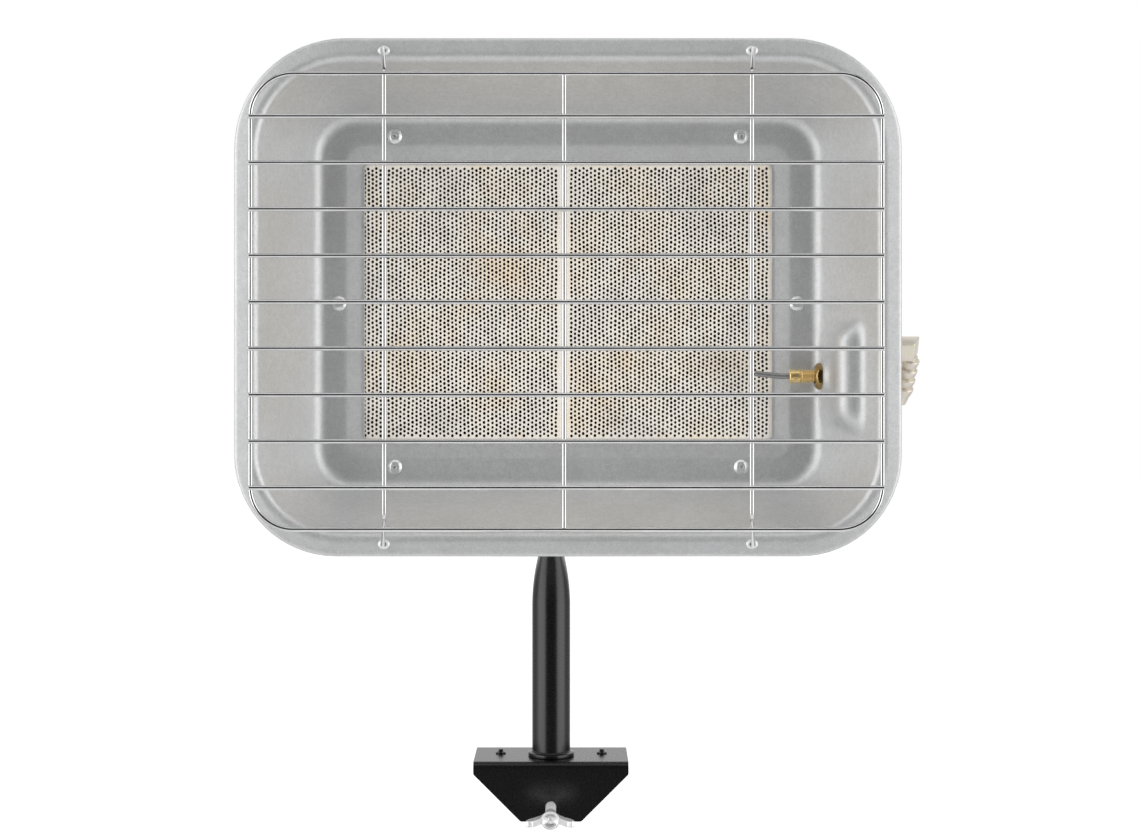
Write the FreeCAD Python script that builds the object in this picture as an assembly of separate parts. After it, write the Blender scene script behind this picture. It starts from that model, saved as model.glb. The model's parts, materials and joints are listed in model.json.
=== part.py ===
import FreeCAD, Part
import math
import os

V = FreeCAD.Vector
AXIS_X = V(1, 0, 0)
AXIS_Y = V(0, 1, 0)
AXIS_Z = V(0, 0, 1)
TINY = 1e-6

# A gas radiant heater that clamps on the collar of a gas cylinder. Sizes are in millimetres.
# The origin lies on the jaw face, on the clamp screw's axis. +Z is up and the front looks along -Y.

# Clamp bracket: a folded channel with slanted lower corners
bracket_width = 88.0
bracket_height = 33.5
bracket_sheet = 2.5
bracket_bend = 3.5
bracket_shoulder = 6.8
bracket_foot = 34.4
bracket_corner = 2.0
clamp_throat = 38.5
screw_rise = 8.5

# Jaw liner under the bracket's top, and the two rivets that hold it
liner_sheet = 3.0
liner_inset = 2.0
liner_ledge = 33.0
liner_rivet_spread = 29.3
liner_rivet_back = 5.4
liner_rivet_radius = 1.6
liner_rivet_head_radius = 2.9
liner_rivet_head = 1.4
liner_rivet_stub_radius = 1.3
liner_rivet_stub = 1.2

# Clamp screw, its nut, its thrust pad and its wing head
screw_radius = 3.0
screw_clearance = 0.3
screw_open = 24.0
screw_exposed = 24.0
screw_pilot_radius = 2.2
screw_pilot = 1.8
nut_across_flats = 10.0
nut_thickness = 5.0
pad_radius = 6.0
pad_thickness = 3.0
hub_length = 10.0
hub_radius = 4.8
hub_foot_radius = 5.6
hub_recess_radius = 3.3
hub_recess = 1.6
wing_span = 25.8
wing_thickness = 2.8
wing_rise = 7.5
wing_root_round = 4.0
wing_edge_round = 3.0
wing_tip_round = 1.8

# Stand tube: round at its foot, flattened to a tang at its top
tube_radius = 11.0
tube_wall = 1.5
tube_inset = 20.5
tube_round = 86.5
tube_taper = 46.0
tang_thickness = 4.5
tang_reach = 20.0
flange_width = 2.2
flange_height = 3.4
plug_length = 16.0

# Hexagon bolts and nuts of the stand and the pivot
bolt_radius = 4.0
bolt_across_flats = 13.0
bolt_head = 5.3
locknut_height = 8.0
washer_radius = 8.0
washer_thickness = 1.6

# Pivot between tang and head
ear_sheet = 2.5
ear_bend = 3.0
ear_radius = 14.0
ear_flange = 22.0
friction_washer = 1.5
friction_washer_radius = 11.0
pivot_gap = 0.05
ear_rivet_out = 18.0
ear_rivet_clear = 3.5
ear_rivet_pitch = 14.0

# Place of the head from the pivot
head_x = 9.7
ear_drop = 20.6
pivot_inset = 15.0

# Reflector: a drawn bowl with a flat rim and a turned-back lip
reflector_sheet = 0.8
rim_width = 354.0
rim_height = 274.0
rim_corner = 59.0
rim_flange = 11.2
rim_lip = 4.0
rim_lip_bend = 1.8
rim_bend = 5.0
bowl_depth = 57.0
floor_border_x = 26.6
floor_border_z = 26.4
floor_corner = 24.0
floor_bend = 6.5
opening_corner = 3.0
step_border = 7.5
step_drop = 2.5
step_corner = 8.0

# Pressed boss in the right wall, with the round pad for the thermocouple
boss_rise = 45.0
boss_root = 5.0
boss_flank_front = 5.0
boss_flank_back = 2.7
boss_overlap = 20.0
boss_half_front = 29.5
boss_half_back = 32.0
boss_corner = 14.0
boss_round = 5.0
pad_rise = 3.5
pad_disc_radius = 10.0
pad_reach = 12.0
thermo_drop = 42.0
thermo_rise = 13.0

# Blind rivets
rivet_radius = 2.0
rivet_clearance = 0.05
rivet_head_radius = 4.3
rivet_head = 1.6
rivet_bulb_radius = 3.0
rivet_bulb = 3.0
rivet_pit_radius = 0.8
rivet_pit = 0.9
corner_rivet_inset = 17.2
corner_rivet_out = 5.6
side_rivet_out = 4.5
side_rivet_drop = 1.0

# Burner: two ceramic plaques in a plenum
plaque_width = 118.5
plaque_height = 162.0
plaque_thickness = 13.0
plaque_joint = 1.0
plaque_shift = 2.1
plaque_cover_x = 4.4
plaque_cover_z = 3.2
gasket_lip = 1.2
gasket_overlap = 2.0
housing_sheet = 1.0
housing_clearance = 0.3
housing_flange = 12.0
housing_flange_rise = 14.5
housing_corner = 9.5
housing_bend = 4.0
retainer_sheet = 1.0
retainer_cover = 6.0
retainer_wall_inset = 1.0
retainer_corner = 4.0
baffle_height = 90.0
baffle_end_gap = 1.0
baffle_hole_radius = 5.0
baffle_columns = 11
baffle_rows = 5
baffle_pitch = 17.0
baffle_gap = 1.5

# Mixing tube, injector and their bracket, in line along X
gas_drop = 25.8
mixer_radius = 10.0
mixer_wall = 1.2
mixer_inner_reach = 25.0
mixer_clearance = 1.0
mixer_collar_radius = 15.0
mixer_collar = 1.2
bell_radius = 14.0
bell_length = 7.0
valve_bracket_sheet = 1.5
valve_bracket_reach = 24.7
valve_bracket_half = 17.0
valve_bracket_foot = 13.0
valve_bracket_depth = 24.0
valve_bracket_bend = 2.5
injector_across_flats = 14.0
injector_hex = 5.5
injector_tip = 6.5
injector_tip_radius = 3.5
injector_bore_radius = 0.6
injector_cone = 2.0

# Gas valve with a push button on top
valve_setout = 18.1
valve_radius = 12.0
valve_up = 14.0
valve_down = 18.0
spigot_radius = 5.0
spigot_length = 3.5
outlet_hub_radius = 9.0
inlet_hub_radius = 8.0
inlet_hub_length = 17.0
bonnet_radius = 9.0
bonnet_height = 6.0
spring_well_radius = 5.2
spring_well = 10.0
magnet_radius = 9.0
magnet_height = 8.0
stub_radius = 4.5
stub_height = 6.0
gas_bore_radius = 2.4
stem_radius = 3.0
stem_below_button = 21.0
stem_bore = 22.0
button_radius = 8.0
button_height = 12.0
button_round = 1.5
button_gap = 7.0
running_gap = 0.05
spring_radius = 4.2
spring_wire_radius = 0.5
spring_turns = 6

# Inlet union and hose elbow
seal_radius = 7.0
seal_thickness = 1.5
elbow_flange = 2.0
arm_radius = 4.7
union_across_flats = 19.0
union_length = 10.5
union_lap = 4.5
elbow_reach = 14.2
elbow_depth = 10.8
elbow_height = 11.4
elbow_left = 7.5
elbow_right_front = 1.6
elbow_right_back = 5.9
elbow_round = 0.6
elbow_lean = 28.0
collar_radius = 5.2
collar_end = 8.0
barb_radius = 4.3
barb_root = 3.5
barb_first = 10.0
barb_pitch = 5.6
barb_cone = 5.0
barb_count = 4
nozzle_end = 36.0
nozzle_tip_radius = 2.9
nozzle_bore_radius = 2.2

# Thermocouple
probe_radius = 1.6
probe_reach = 36.4
probe_straight = 22.4
probe_kick = 1.6
probe_bend = 30.0
probe_tail = 14.0
sleeve_radius = 4.0
sleeve_plain_radius = 3.7
sleeve_front = 17.8
sleeve_plain = 5.8
sleeve_back = 9.0
sleeve_slot = 1.2
sleeve_slot_length = 4.4
thread_pitch = 1.0
thread_depth = 0.45
locknut_across_flats = 13.0
locknut_thickness = 3.6
lead_radius = 1.2
lead_bend = 10.0
lead_low = 88.0
lead_entry = 8.0
cap_nut_across_flats = 12.0
cap_nut_height = 10.0
cap_nut_lap = 2.0

# Wire guard
wire_radius = 1.0
weld_sink = 0.25
guard_stand = 30.0
guard_inset_x = 13.7
guard_inset_z = 19.55
guard_corner = 22.0
guard_left = 0.8
guard_drop = 3.55
cross_wires = 9
cross_margin = 22.25
cross_drop = 4.5
upright_x = 94.4
middle_upright_left = 2.0
foot_x = 97.6
foot_straight = 6.0
foot_through = 3.5
upright_bend_start = 6.0
upright_bend = 6.0
foot_bend = 4.0
retainer_disc_radius = 3.3
retainer_disc = 1.5

# Places that follow from the sizes above
bracket_top = bracket_height - screw_rise
bracket_bottom = -screw_rise
bracket_front = -(clamp_throat + bracket_sheet)
bracket_rear = liner_sheet + bracket_sheet
bracket_under = bracket_top - bracket_sheet
liner_under = bracket_under - liner_sheet
tube_y = bracket_front + tube_inset
taper_start = bracket_top + tube_round
taper_end = taper_start + tube_taper
pivot_z = taper_end + tang_reach
pivot = V(0, tube_y, pivot_z)
burner_half_width = plaque_width + plaque_joint / 2
burner_half_height = plaque_height / 2
opening_width = 2 * (burner_half_width - plaque_cover_x)
opening_height = 2 * (burner_half_height - plaque_cover_z)
floor_width = opening_width + 2 * floor_border_x
floor_height = opening_height + 2 * floor_border_z
floor_back = bowl_depth + reflector_sheet
step_half_width = opening_width / 2 + step_border
step_half_height = opening_height / 2 + step_border
ledge_back = floor_back + step_drop
plaque_front = ledge_back + gasket_lip
plaque_back = plaque_front + plaque_thickness
gas_z = -gas_drop
gas_depth = plaque_back + 2 * retainer_sheet + baffle_gap + mixer_radius
housing_back = gas_depth + mixer_radius + mixer_clearance + housing_sheet
housing_half_width = step_half_width + reflector_sheet + housing_clearance
housing_half_height = step_half_height + reflector_sheet + housing_clearance
housing_right = housing_half_width + housing_sheet
housing_bottom = -(housing_half_height + housing_sheet)
head_z = pivot_z + ear_drop - housing_bottom
rim_y = tube_y - housing_back + pivot_inset
boss_front = bowl_depth - boss_rise
boss_back = bowl_depth + boss_root
boss_left_front = floor_width / 2 + boss_flank_front
boss_left_back = floor_width / 2 + boss_flank_back
boss_right = rim_width / 2 - rim_flange + boss_overlap
pad_x = boss_left_back - pad_rise
thermo_z = -thermo_drop
thermo_depth = bowl_depth - thermo_rise
corner_rivet_x = opening_width / 2 - corner_rivet_inset
corner_rivet_z = corner_rivet_out - housing_bottom
side_rivet_x = housing_right + side_rivet_out
plate_right = housing_right + valve_bracket_reach
plate_left = plate_right - valve_bracket_sheet
valve_x = plate_right + valve_setout
inlet_hub_end = valve_x + inlet_hub_length
elbow_x = inlet_hub_end + elbow_reach
valve_top = gas_z + valve_up + bonnet_height
button_base = valve_top + button_gap
valve_bottom = gas_z - valve_down - magnet_height - stub_height
guard_width = rim_width - 2 * guard_inset_x
guard_height = rim_height - 2 * guard_inset_z
cross_pitch = (guard_height - 2 * cross_margin) / (cross_wires - 1)
tang_half_width = math.sqrt(2 * tube_radius ** 2 - (tang_thickness / 2) ** 2)
washer_face = tang_thickness / 2 + pivot_gap
ear_face = washer_face + friction_washer
ear_outside = ear_face + ear_sheet


def head(x, depth, z):
    """A point of the head: right of the rim's centre, behind the rim's face, above the centre."""
    return V(head_x + x, rim_y + depth, head_z + z)


def rounded_path(points, radii, closed=False):
    """Edges through the points, with an arc of its own radius at each corner."""
    corners = []
    for i, point in enumerate(points):
        open_end = not closed and i in (0, len(points) - 1)
        if open_end or radii[i] < TINY:
            corners.append((point, None, point))
            continue
        back = (points[i - 1] - point).normalize()
        ahead = (points[(i + 1) % len(points)] - point).normalize()
        half = back.getAngle(ahead) / 2
        reach = radii[i] / math.tan(half)
        crown = radii[i] / math.sin(half) - radii[i]
        middle = point + (back + ahead).normalize() * crown
        corners.append((point + back * reach, middle, point + ahead * reach))
    edges = []
    for i, (start, middle, end) in enumerate(corners):
        if middle:
            edges.append(Part.Arc(start, middle, end).toShape())
        if closed or i < len(points) - 1:
            following = corners[(i + 1) % len(points)][0]
            if end.distanceToPoint(following) > TINY:
                edges.append(Part.LineSegment(end, following).toShape())
    return edges


def outline(points, radii, place):
    """Flat face inside a closed outline of 2D points."""
    return Part.Face(Part.Wire(rounded_path([place(*p) for p in points], radii, True)))


def direction(a, b):
    """Direction from one 2D point to another."""
    length = math.hypot(b[0] - a[0], b[1] - a[1])
    return (b[0] - a[0]) / length, (b[1] - a[1]) / length


def offset_path(points, distance):
    """The open 2D path moved to its right-hand side."""
    moved = []
    for i, point in enumerate(points):
        before = direction(points[max(i - 1, 0)], points[max(i, 1)])
        after = direction(points[min(i, len(points) - 2)], points[min(i + 1, len(points) - 1)])
        scale = distance / (1 + before[0] * after[0] + before[1] * after[1])
        across = (before[1] + after[1], -before[0] - after[0])
        moved.append((point[0] + across[0] * scale, point[1] + across[1] * scale))
    return moved


def sheet_profile(points, radii, thickness, place):
    """Section of a bent sheet: the points are its left-hand skin, the sheet lies to the right."""
    inner = offset_path(points, thickness)
    inner_radii = list(radii)
    for i in range(1, len(points) - 1):
        before = direction(points[i - 1], points[i])
        after = direction(points[i], points[i + 1])
        turn = before[0] * after[1] - before[1] * after[0]
        inner_radii[i] = radii[i] + math.copysign(thickness, turn)
    skin_points = [place(*p) for p in points]
    inner_points = [place(*p) for p in inner]
    edges = rounded_path(skin_points, radii) + rounded_path(inner_points, inner_radii)
    edges.append(Part.LineSegment(skin_points[0], inner_points[0]).toShape())
    edges.append(Part.LineSegment(skin_points[-1], inner_points[-1]).toShape())
    return Part.Face(Part.Wire(Part.__sortEdges__(edges)))


def fused(shapes):
    """One shape from several that touch or overlap."""
    return shapes[0].multiFuse(shapes[1:]).removeSplitter()


def drilled(shape, tools):
    """The shape with each tool cut out of it."""
    return shape.cut(Part.makeCompound(tools))


def rod(radius, length, base=V(), axis=AXIS_Z):
    """Straight round rod."""
    return Part.makeCylinder(radius, length, base, axis)


def ring(outer, inner, length, base, axis):
    """Straight round tube."""
    return rod(outer, length, base, axis).cut(rod(inner, length, base, axis))


def round_edges(shape, level, axis_index):
    """Circular edges of a round blank at a level along one axis."""
    found = []
    for edge in shape.Edges:
        circle = isinstance(edge.Curve, Part.Circle)
        if circle and abs(edge.CenterOfMass[axis_index] - level) < TINY:
            found.append(edge)
    return found


def hexagon(across_flats, length, base, axis):
    """Hexagon blank with its corners chamfered at both ends."""
    corner = across_flats / math.sqrt(3)
    angles = [math.radians(60 * i) for i in range(6)]
    points = [V(corner * math.cos(a), corner * math.sin(a), 0) for a in angles]
    prism = Part.Face(Part.makePolygon(points + points[:1])).extrude(V(0, 0, length))
    blank = rod(corner, length)
    ends = round_edges(blank, 0, 2) + round_edges(blank, length, 2)
    blank = blank.makeChamfer(corner - across_flats / 2, ends)
    shape = prism.common(blank)
    shape.Placement = FreeCAD.Placement(base, FreeCAD.Rotation(AXIS_Z, axis))
    return shape


def turned(points, base, axis):
    """Round piece from (distance along the axis, radius) points of half its section."""
    side = AXIS_Z if abs(axis.z) < 0.5 else AXIS_X
    corners = [base + axis * along + side * radius for along, radius in points]
    face = Part.Face(Part.makePolygon(corners + corners[:1]))
    return face.revolve(base, axis, 360)


def bent_rod(points, bends, radius):
    """Round rod along straight runs joined by tangent arcs."""
    path = Part.Wire(rounded_path(points, bends))
    section = Part.Wire(Part.Circle(points[0], points[1] - points[0], radius).toShape())
    return path.makePipeShell([section], True, False)


def head_slab(half_width, half_height, corner, front, back):
    """Rounded rectangle of the head, from one depth to another."""
    points = [(-half_width, -half_height), (half_width, -half_height)]
    points += [(half_width, half_height), (-half_width, half_height)]
    face = outline(points, [corner] * 4, lambda x, z: head(x, front, z))
    return face.extrude(V(0, back - front, 0))


def edges_at_depth(shape, depth, reach):
    """Edges that lie at one depth of the head, within a distance left and right of its centre."""
    found = []
    for edge in shape.Edges:
        box = edge.BoundBox
        level = abs(box.YMin - rim_y - depth) < 0.01 and abs(box.YMax - rim_y - depth) < 0.01
        if level and box.XMax - head_x < reach and head_x - box.XMin < reach:
            found.append(edge)
    return found


def blind_rivet(base, axis, grip, head_length=rivet_head, bulb_length=rivet_bulb):
    """Blind rivet: base is under the head, axis points from the head into the sheets."""
    dome = [(-head_length, 0), (-head_length, rivet_head_radius * 0.55)]
    dome += [(-head_length * 0.35, rivet_head_radius), (0, rivet_head_radius), (0, rivet_radius)]
    bulb = [(grip, rivet_radius), (grip, rivet_bulb_radius)]
    bulb += [(grip + bulb_length * 0.7, rivet_bulb_radius), (grip + bulb_length, rivet_radius * 0.7)]
    bulb += [(grip + bulb_length, 0)]
    pit = rod(rivet_pit_radius, rivet_pit, base - axis * head_length, axis)
    return turned(dome + bulb, base, axis).cut(pit)


def bracket_outline(inset, bottom, front, back):
    """Block with the bracket's front outline: straight shoulders, then slants to the foot."""
    half = bracket_width / 2 - inset
    foot = bracket_foot / 2 - inset
    shoulder = bracket_top - bracket_shoulder
    points = [(-half, bracket_top + bracket_sheet), (-half, shoulder), (-foot, bottom)]
    points += [(foot, bottom), (half, shoulder), (half, bracket_top + bracket_sheet)]
    radii = [0] + [bracket_corner] * 4 + [0]
    face = outline(points, radii, lambda x, z: V(x, front, z))
    return face.extrude(V(0, back - front, 0))


def make_clamp_bracket():
    """Folded channel: front plate, top and rear plate."""
    points = [(bracket_front, bracket_bottom), (bracket_front, bracket_top)]
    points += [(bracket_rear, bracket_top), (bracket_rear, bracket_bottom)]
    radii = [0, bracket_bend, bracket_bend, 0]
    profile = sheet_profile(points, radii, bracket_sheet, lambda y, z: V(-bracket_width / 2, y, z))
    channel = profile.extrude(V(bracket_width, 0, 0))
    channel = channel.common(bracket_outline(0, bracket_bottom, bracket_front, bracket_rear))
    screw_hole = rod(screw_radius + screw_clearance, bracket_sheet, V(0, bracket_front, 0), AXIS_Y)
    bolt_hole = rod(bolt_radius, bracket_sheet, V(0, tube_y, bracket_under), AXIS_Z)
    holes = [screw_hole, bolt_hole]
    for side in (-1, 1):
        place = V(side * liner_rivet_spread, tube_y + liner_rivet_back, bracket_under)
        holes.append(rod(liner_rivet_radius, bracket_sheet, place, AXIS_Z))
    return drilled(channel, holes)


def make_jaw_liner():
    """Angle inside the channel: its upright leg is the jaw that the collar is pressed against."""
    bottom = bracket_bottom + liner_inset / 2
    points = [(liner_sheet - liner_ledge, bracket_under), (liner_sheet, bracket_under), (liner_sheet, bottom)]
    radii = [0, liner_sheet, 0]
    profile = sheet_profile(points, radii, liner_sheet, lambda y, z: V(-bracket_width / 2, y, z))
    angle = profile.extrude(V(bracket_width, 0, 0))
    angle = angle.common(bracket_outline(liner_inset, bottom, liner_sheet - liner_ledge, liner_sheet))
    holes = [rod(bolt_radius, liner_sheet, V(0, tube_y, liner_under), AXIS_Z)]
    for side in (-1, 1):
        place = V(side * liner_rivet_spread, tube_y + liner_rivet_back, liner_under)
        holes.append(rod(liner_rivet_radius, liner_sheet, place, AXIS_Z))
    return drilled(angle, holes)


def make_liner_rivets():
    """Two small rivets through the bracket's top and the liner's ledge."""
    grip = bracket_top - liner_under
    stub_top = liner_rivet_head + liner_rivet_stub
    rivets = []
    for side in (-1, 1):
        base = V(side * liner_rivet_spread, tube_y + liner_rivet_back, bracket_top)
        points = [(stub_top, 0), (stub_top, liner_rivet_stub_radius)]
        points += [(liner_rivet_head, liner_rivet_stub_radius)]
        points += [(liner_rivet_head / 2, liner_rivet_head_radius), (0, liner_rivet_head_radius)]
        points += [(0, liner_rivet_radius), (-grip, liner_rivet_radius)]
        points += [(-grip, liner_rivet_head_radius), (-grip - liner_rivet_head, liner_rivet_radius)]
        points += [(-grip - liner_rivet_head, 0)]
        rivets.append(turned(points, base, AXIS_Z))
    return Part.makeCompound(rivets)


def make_clamp_nut():
    """Hexagon nut welded inside the front plate."""
    base = V(0, -clamp_throat, 0)
    bore = rod(screw_radius + running_gap, nut_thickness, base, AXIS_Y)
    return hexagon(nut_across_flats, nut_thickness, base, AXIS_Y).cut(bore)


def make_clamp_pad():
    """Round thrust pad on the screw's tip."""
    back = -screw_open - pad_thickness
    points = [(0, 0), (0, pad_radius * 0.75), (pad_thickness * 0.4, pad_radius), (pad_thickness, pad_radius)]
    points += [(pad_thickness, 0)]
    socket = rod(screw_pilot_radius + running_gap, screw_pilot + running_gap, V(0, back, 0), AXIS_Y)
    return turned(points, V(0, back, 0), AXIS_Y).cut(socket)


def make_clamp_screw():
    """Threaded shank from the wing head to the pad, with a domed end in the hub."""
    tip = -screw_open - pad_thickness
    hub_back = bracket_front - screw_exposed
    hub_front = hub_back - hub_length
    end = hub_front + hub_recess
    points = [(end, 0), (end, screw_radius * 0.5), (end + screw_radius * 0.3, screw_radius)]
    points += [(tip, screw_radius), (tip, screw_pilot_radius)]
    points += [(tip + screw_pilot, screw_pilot_radius), (tip + screw_pilot, 0)]
    return turned(points, V(0, 0, 0), AXIS_Y)


def make_clamp_wing():
    """Hub with two wings that reach forward past its end."""
    hub_back = bracket_front - screw_exposed
    hub_front = hub_back - hub_length
    half_section = [(hub_front, 0), (hub_front, hub_radius), (hub_back, hub_foot_radius), (hub_back, 0)]
    hub = turned(half_section, V(), AXIS_Y)
    tip = wing_span / 2
    far = hub_front - wing_rise
    wings = []
    for side in (-1, 1):
        points = [(hub_radius * 0.5, hub_back - hub_length * 0.15)]
        points += [(tip * 0.68, hub_back - hub_length * 0.55)]
        points += [(tip, hub_front - wing_rise * 0.1), (tip, far + wing_rise * 0.05), (tip * 0.72, far)]
        points += [(tip * 0.48, hub_front - wing_rise * 0.2), (hub_radius * 0.5, hub_front + hub_recess)]
        radii = [0, wing_root_round, wing_edge_round, wing_tip_round, wing_tip_round, wing_edge_round, 0]
        face = outline(points, radii, lambda x, y: V(side * x, y, -wing_thickness / 2))
        wings.append(face.extrude(V(0, 0, wing_thickness)))
    recess = rod(hub_recess_radius, hub_recess, V(0, hub_front, 0), AXIS_Y)
    bore = rod(screw_radius, hub_length, V(0, hub_front, 0), AXIS_Y)
    return fused([hub] + wings).cut(fused([recess, bore]))


def tube_section(half_thickness, half_width, flatness, z):
    """Oval of four arcs. Flatness 0 is a circle, 1 is a flat bar with round edges."""
    corner_x = half_thickness * (math.sqrt(0.5) * (1 - flatness) + 0.94 * flatness)
    corner_y = half_width * (math.sqrt(0.5) * (1 - flatness) + 0.86 * flatness)
    arcs = []
    for side in (1, -1):
        right = V(side * corner_x, tube_y - side * corner_y, z)
        left = V(side * corner_x, tube_y + side * corner_y, z)
        far = V(-side * corner_x, tube_y + side * corner_y, z)
        arcs.append(Part.Arc(right, V(side * half_thickness, tube_y, z), left).toShape())
        arcs.append(Part.Arc(left, V(0, tube_y + side * half_width, z), far).toShape())
    return Part.Wire(arcs)


def flattened_loft(wall):
    """The stretch where the round tube is pressed flat, moved inwards by a wall."""
    steps = 6
    sections = []
    for i in range(steps + 1):
        rise = i / steps
        half_thickness = tube_radius - (tube_radius - tang_thickness / 2) * rise ** 2
        half_width = math.sqrt(2 * tube_radius ** 2 - half_thickness ** 2)
        z = taper_start + tube_taper * rise
        sections.append(tube_section(half_thickness - wall, half_width - wall, rise ** 2, z))
    return Part.makeLoft(sections, True, False)


def make_stand_tube():
    """Round tube, pressed flat towards its top, with the pivot hole in the tang."""
    base = V(0, tube_y, bracket_top)
    skin = Part.Face(tube_section(tube_radius, tube_radius, 0, bracket_top)).extrude(V(0, 0, tube_round))
    bore = Part.Face(tube_section(tube_radius - tube_wall, tube_radius - tube_wall, 0, bracket_top))
    bore = bore.extrude(V(0, 0, tube_round))
    tang = Part.makeBox(tang_thickness, 2 * tang_half_width, tang_reach,
                        V(-tang_thickness / 2, tube_y - tang_half_width, taper_end))
    crown = rod(tang_half_width, tang_thickness, pivot - AXIS_X * tang_thickness / 2, AXIS_X)
    hole = rod(bolt_radius + running_gap, tang_thickness, pivot - AXIS_X * tang_thickness / 2, AXIS_X)
    outside = fused([skin, flattened_loft(0), tang, crown])
    inside = fused([bore, flattened_loft(tube_wall)])
    return outside.cut(inside).cut(hole)


def make_tube_flange():
    """Ring around the tube's foot."""
    outer = tube_radius + flange_width
    points = [(0, tube_radius), (0, outer), (flange_height * 0.55, outer)]
    points += [(flange_height, outer - flange_height * 0.45), (flange_height, tube_radius)]
    return turned(points, V(0, tube_y, bracket_top), AXIS_Z)


def make_tube_plug():
    """Threaded plug pressed into the tube's foot."""
    return ring(tube_radius - tube_wall, bolt_radius, plug_length, V(0, tube_y, bracket_top), AXIS_Z)


def make_tube_bolt():
    """Hexagon bolt from under the bracket into the plug."""
    seat = liner_under - washer_thickness
    shank = rod(bolt_radius, bracket_top + plug_length - seat, V(0, tube_y, seat), AXIS_Z)
    return fused([hexagon(bolt_across_flats, bolt_head, V(0, tube_y, seat - bolt_head), AXIS_Z), shank])


def make_tube_washer():
    """Washer under the tube bolt's head."""
    base = V(0, tube_y, liner_under - washer_thickness)
    return ring(washer_radius, bolt_radius, washer_thickness, base, AXIS_Z)


def pivot_ear(side):
    """Angle under the burner housing, with the pivot hole in its hanging leg."""
    top = head_z + housing_bottom
    low = pivot_z - ear_radius
    points = [(ear_face, low), (ear_face, top), (ear_outside + ear_flange, top)]
    back = tube_y - ear_radius
    profile = sheet_profile(points, [0, ear_bend, 0], ear_sheet, lambda x, z: V(side * x, back, z))
    angle = profile.extrude(V(0, 2 * ear_radius, 0))
    reach = ear_outside + ear_flange
    leg = Part.makeBox(2 * reach, 2 * ear_radius, top - pivot_z, V(-reach, back, pivot_z))
    eye = rod(ear_radius, 2 * reach, pivot - AXIS_X * reach, AXIS_X)
    angle = angle.common(fused([leg, eye]))
    holes = [rod(bolt_radius, 2 * reach, pivot - AXIS_X * reach, AXIS_X)]
    for place in ear_rivet_places(side):
        holes.append(rod(rivet_radius + rivet_clearance, 2 * ear_sheet, place - AXIS_Z * ear_sheet, AXIS_Z))
    return drilled(angle, holes)


def ear_rivet_places(side):
    """Rivet places on an ear's flange, at the housing's underside."""
    z = head_z + housing_bottom
    first = rim_y + plaque_back + ear_rivet_clear
    return [V(side * ear_rivet_out, first + step * ear_rivet_pitch, z) for step in (0, 1)]


def make_ear_rivets():
    """Four rivets through the ears' flanges into the housing."""
    grip = ear_sheet + housing_sheet
    rivets = []
    for side in (-1, 1):
        for place in ear_rivet_places(side):
            rivets.append(blind_rivet(place - AXIS_Z * ear_sheet, AXIS_Z, grip, rivet_head, rivet_bulb * 0.7))
    return Part.makeCompound(rivets)


def make_pivot_washers():
    """Friction washers between the tang and the ears."""
    left = ring(friction_washer_radius, bolt_radius, friction_washer, pivot - AXIS_X * ear_face, AXIS_X)
    right = ring(friction_washer_radius, bolt_radius, friction_washer, pivot + AXIS_X * washer_face, AXIS_X)
    return Part.makeCompound([left, right])


def make_pivot_bolt():
    """Hexagon bolt through ears, washers and tang."""
    seat = pivot - AXIS_X * ear_outside
    length = 2 * ear_outside + locknut_height + bolt_radius / 2
    shank = rod(bolt_radius, length, seat, AXIS_X)
    return fused([hexagon(bolt_across_flats, bolt_head, seat - AXIS_X * bolt_head, AXIS_X), shank])


def make_pivot_nut():
    """Self-locking nut on the pivot bolt."""
    base = pivot + AXIS_X * ear_outside
    bore = rod(bolt_radius, locknut_height, base, AXIS_X)
    return hexagon(bolt_across_flats, locknut_height, base, AXIS_X).cut(bore)


def bowl_section(depth, grow):
    """Rounded rectangle of the bowl at a depth, grown by a sheet thickness across the wall."""
    share = depth / bowl_depth
    half_width = rim_width / 2 - rim_flange
    half_height = rim_height / 2 - rim_flange
    run_x = half_width - floor_width / 2
    run_z = half_height - floor_height / 2
    grow_x = grow * math.hypot(1, run_x / bowl_depth)
    grow_z = grow * math.hypot(1, run_z / bowl_depth)
    corner = rim_corner - rim_flange
    corner += (floor_corner - corner) * share + (grow_x + grow_z) / 2
    w = half_width - run_x * share + grow_x
    h = half_height - run_z * share + grow_z
    points = [head(-w, depth, -h), head(w, depth, -h), head(w, depth, h), head(-w, depth, h)]
    return Part.Wire(rounded_path(points, [corner] * 4, True))


def bowl_solid(grow):
    """Filled bowl from the rim's face to the floor, grown by a sheet thickness."""
    depth = bowl_depth + grow
    bowl = Part.makeLoft([bowl_section(0, grow), bowl_section(depth, grow)], True, True)
    return bowl.makeFillet(floor_bend + grow, edges_at_depth(bowl, depth, floor_width))


def boss_solid(inset):
    """Filled boss, moved inwards by a sheet thickness."""
    sections = []
    front_level = (boss_front + inset, boss_left_front, boss_half_front)
    back_level = (boss_back, boss_left_back, boss_half_back)
    for depth, left, half in (front_level, back_level):
        points = [(left + inset, thermo_z - half + inset), (boss_right, thermo_z - half + inset)]
        points += [(boss_right, thermo_z + half - inset), (left + inset, thermo_z + half - inset)]
        corners = [head(x, depth, z) for x, z in points]
        radius = boss_corner - inset
        sections.append(Part.Wire(rounded_path(corners, [radius, 0, 0, radius], True)))
    boss = Part.makeLoft(sections, True, True)
    front = edges_at_depth(boss, boss_front + inset, rim_width)
    front = [e for e in front if e.BoundBox.XMin < head_x + boss_right - TINY]
    return boss.makeFillet(boss_round - inset, front)


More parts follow.
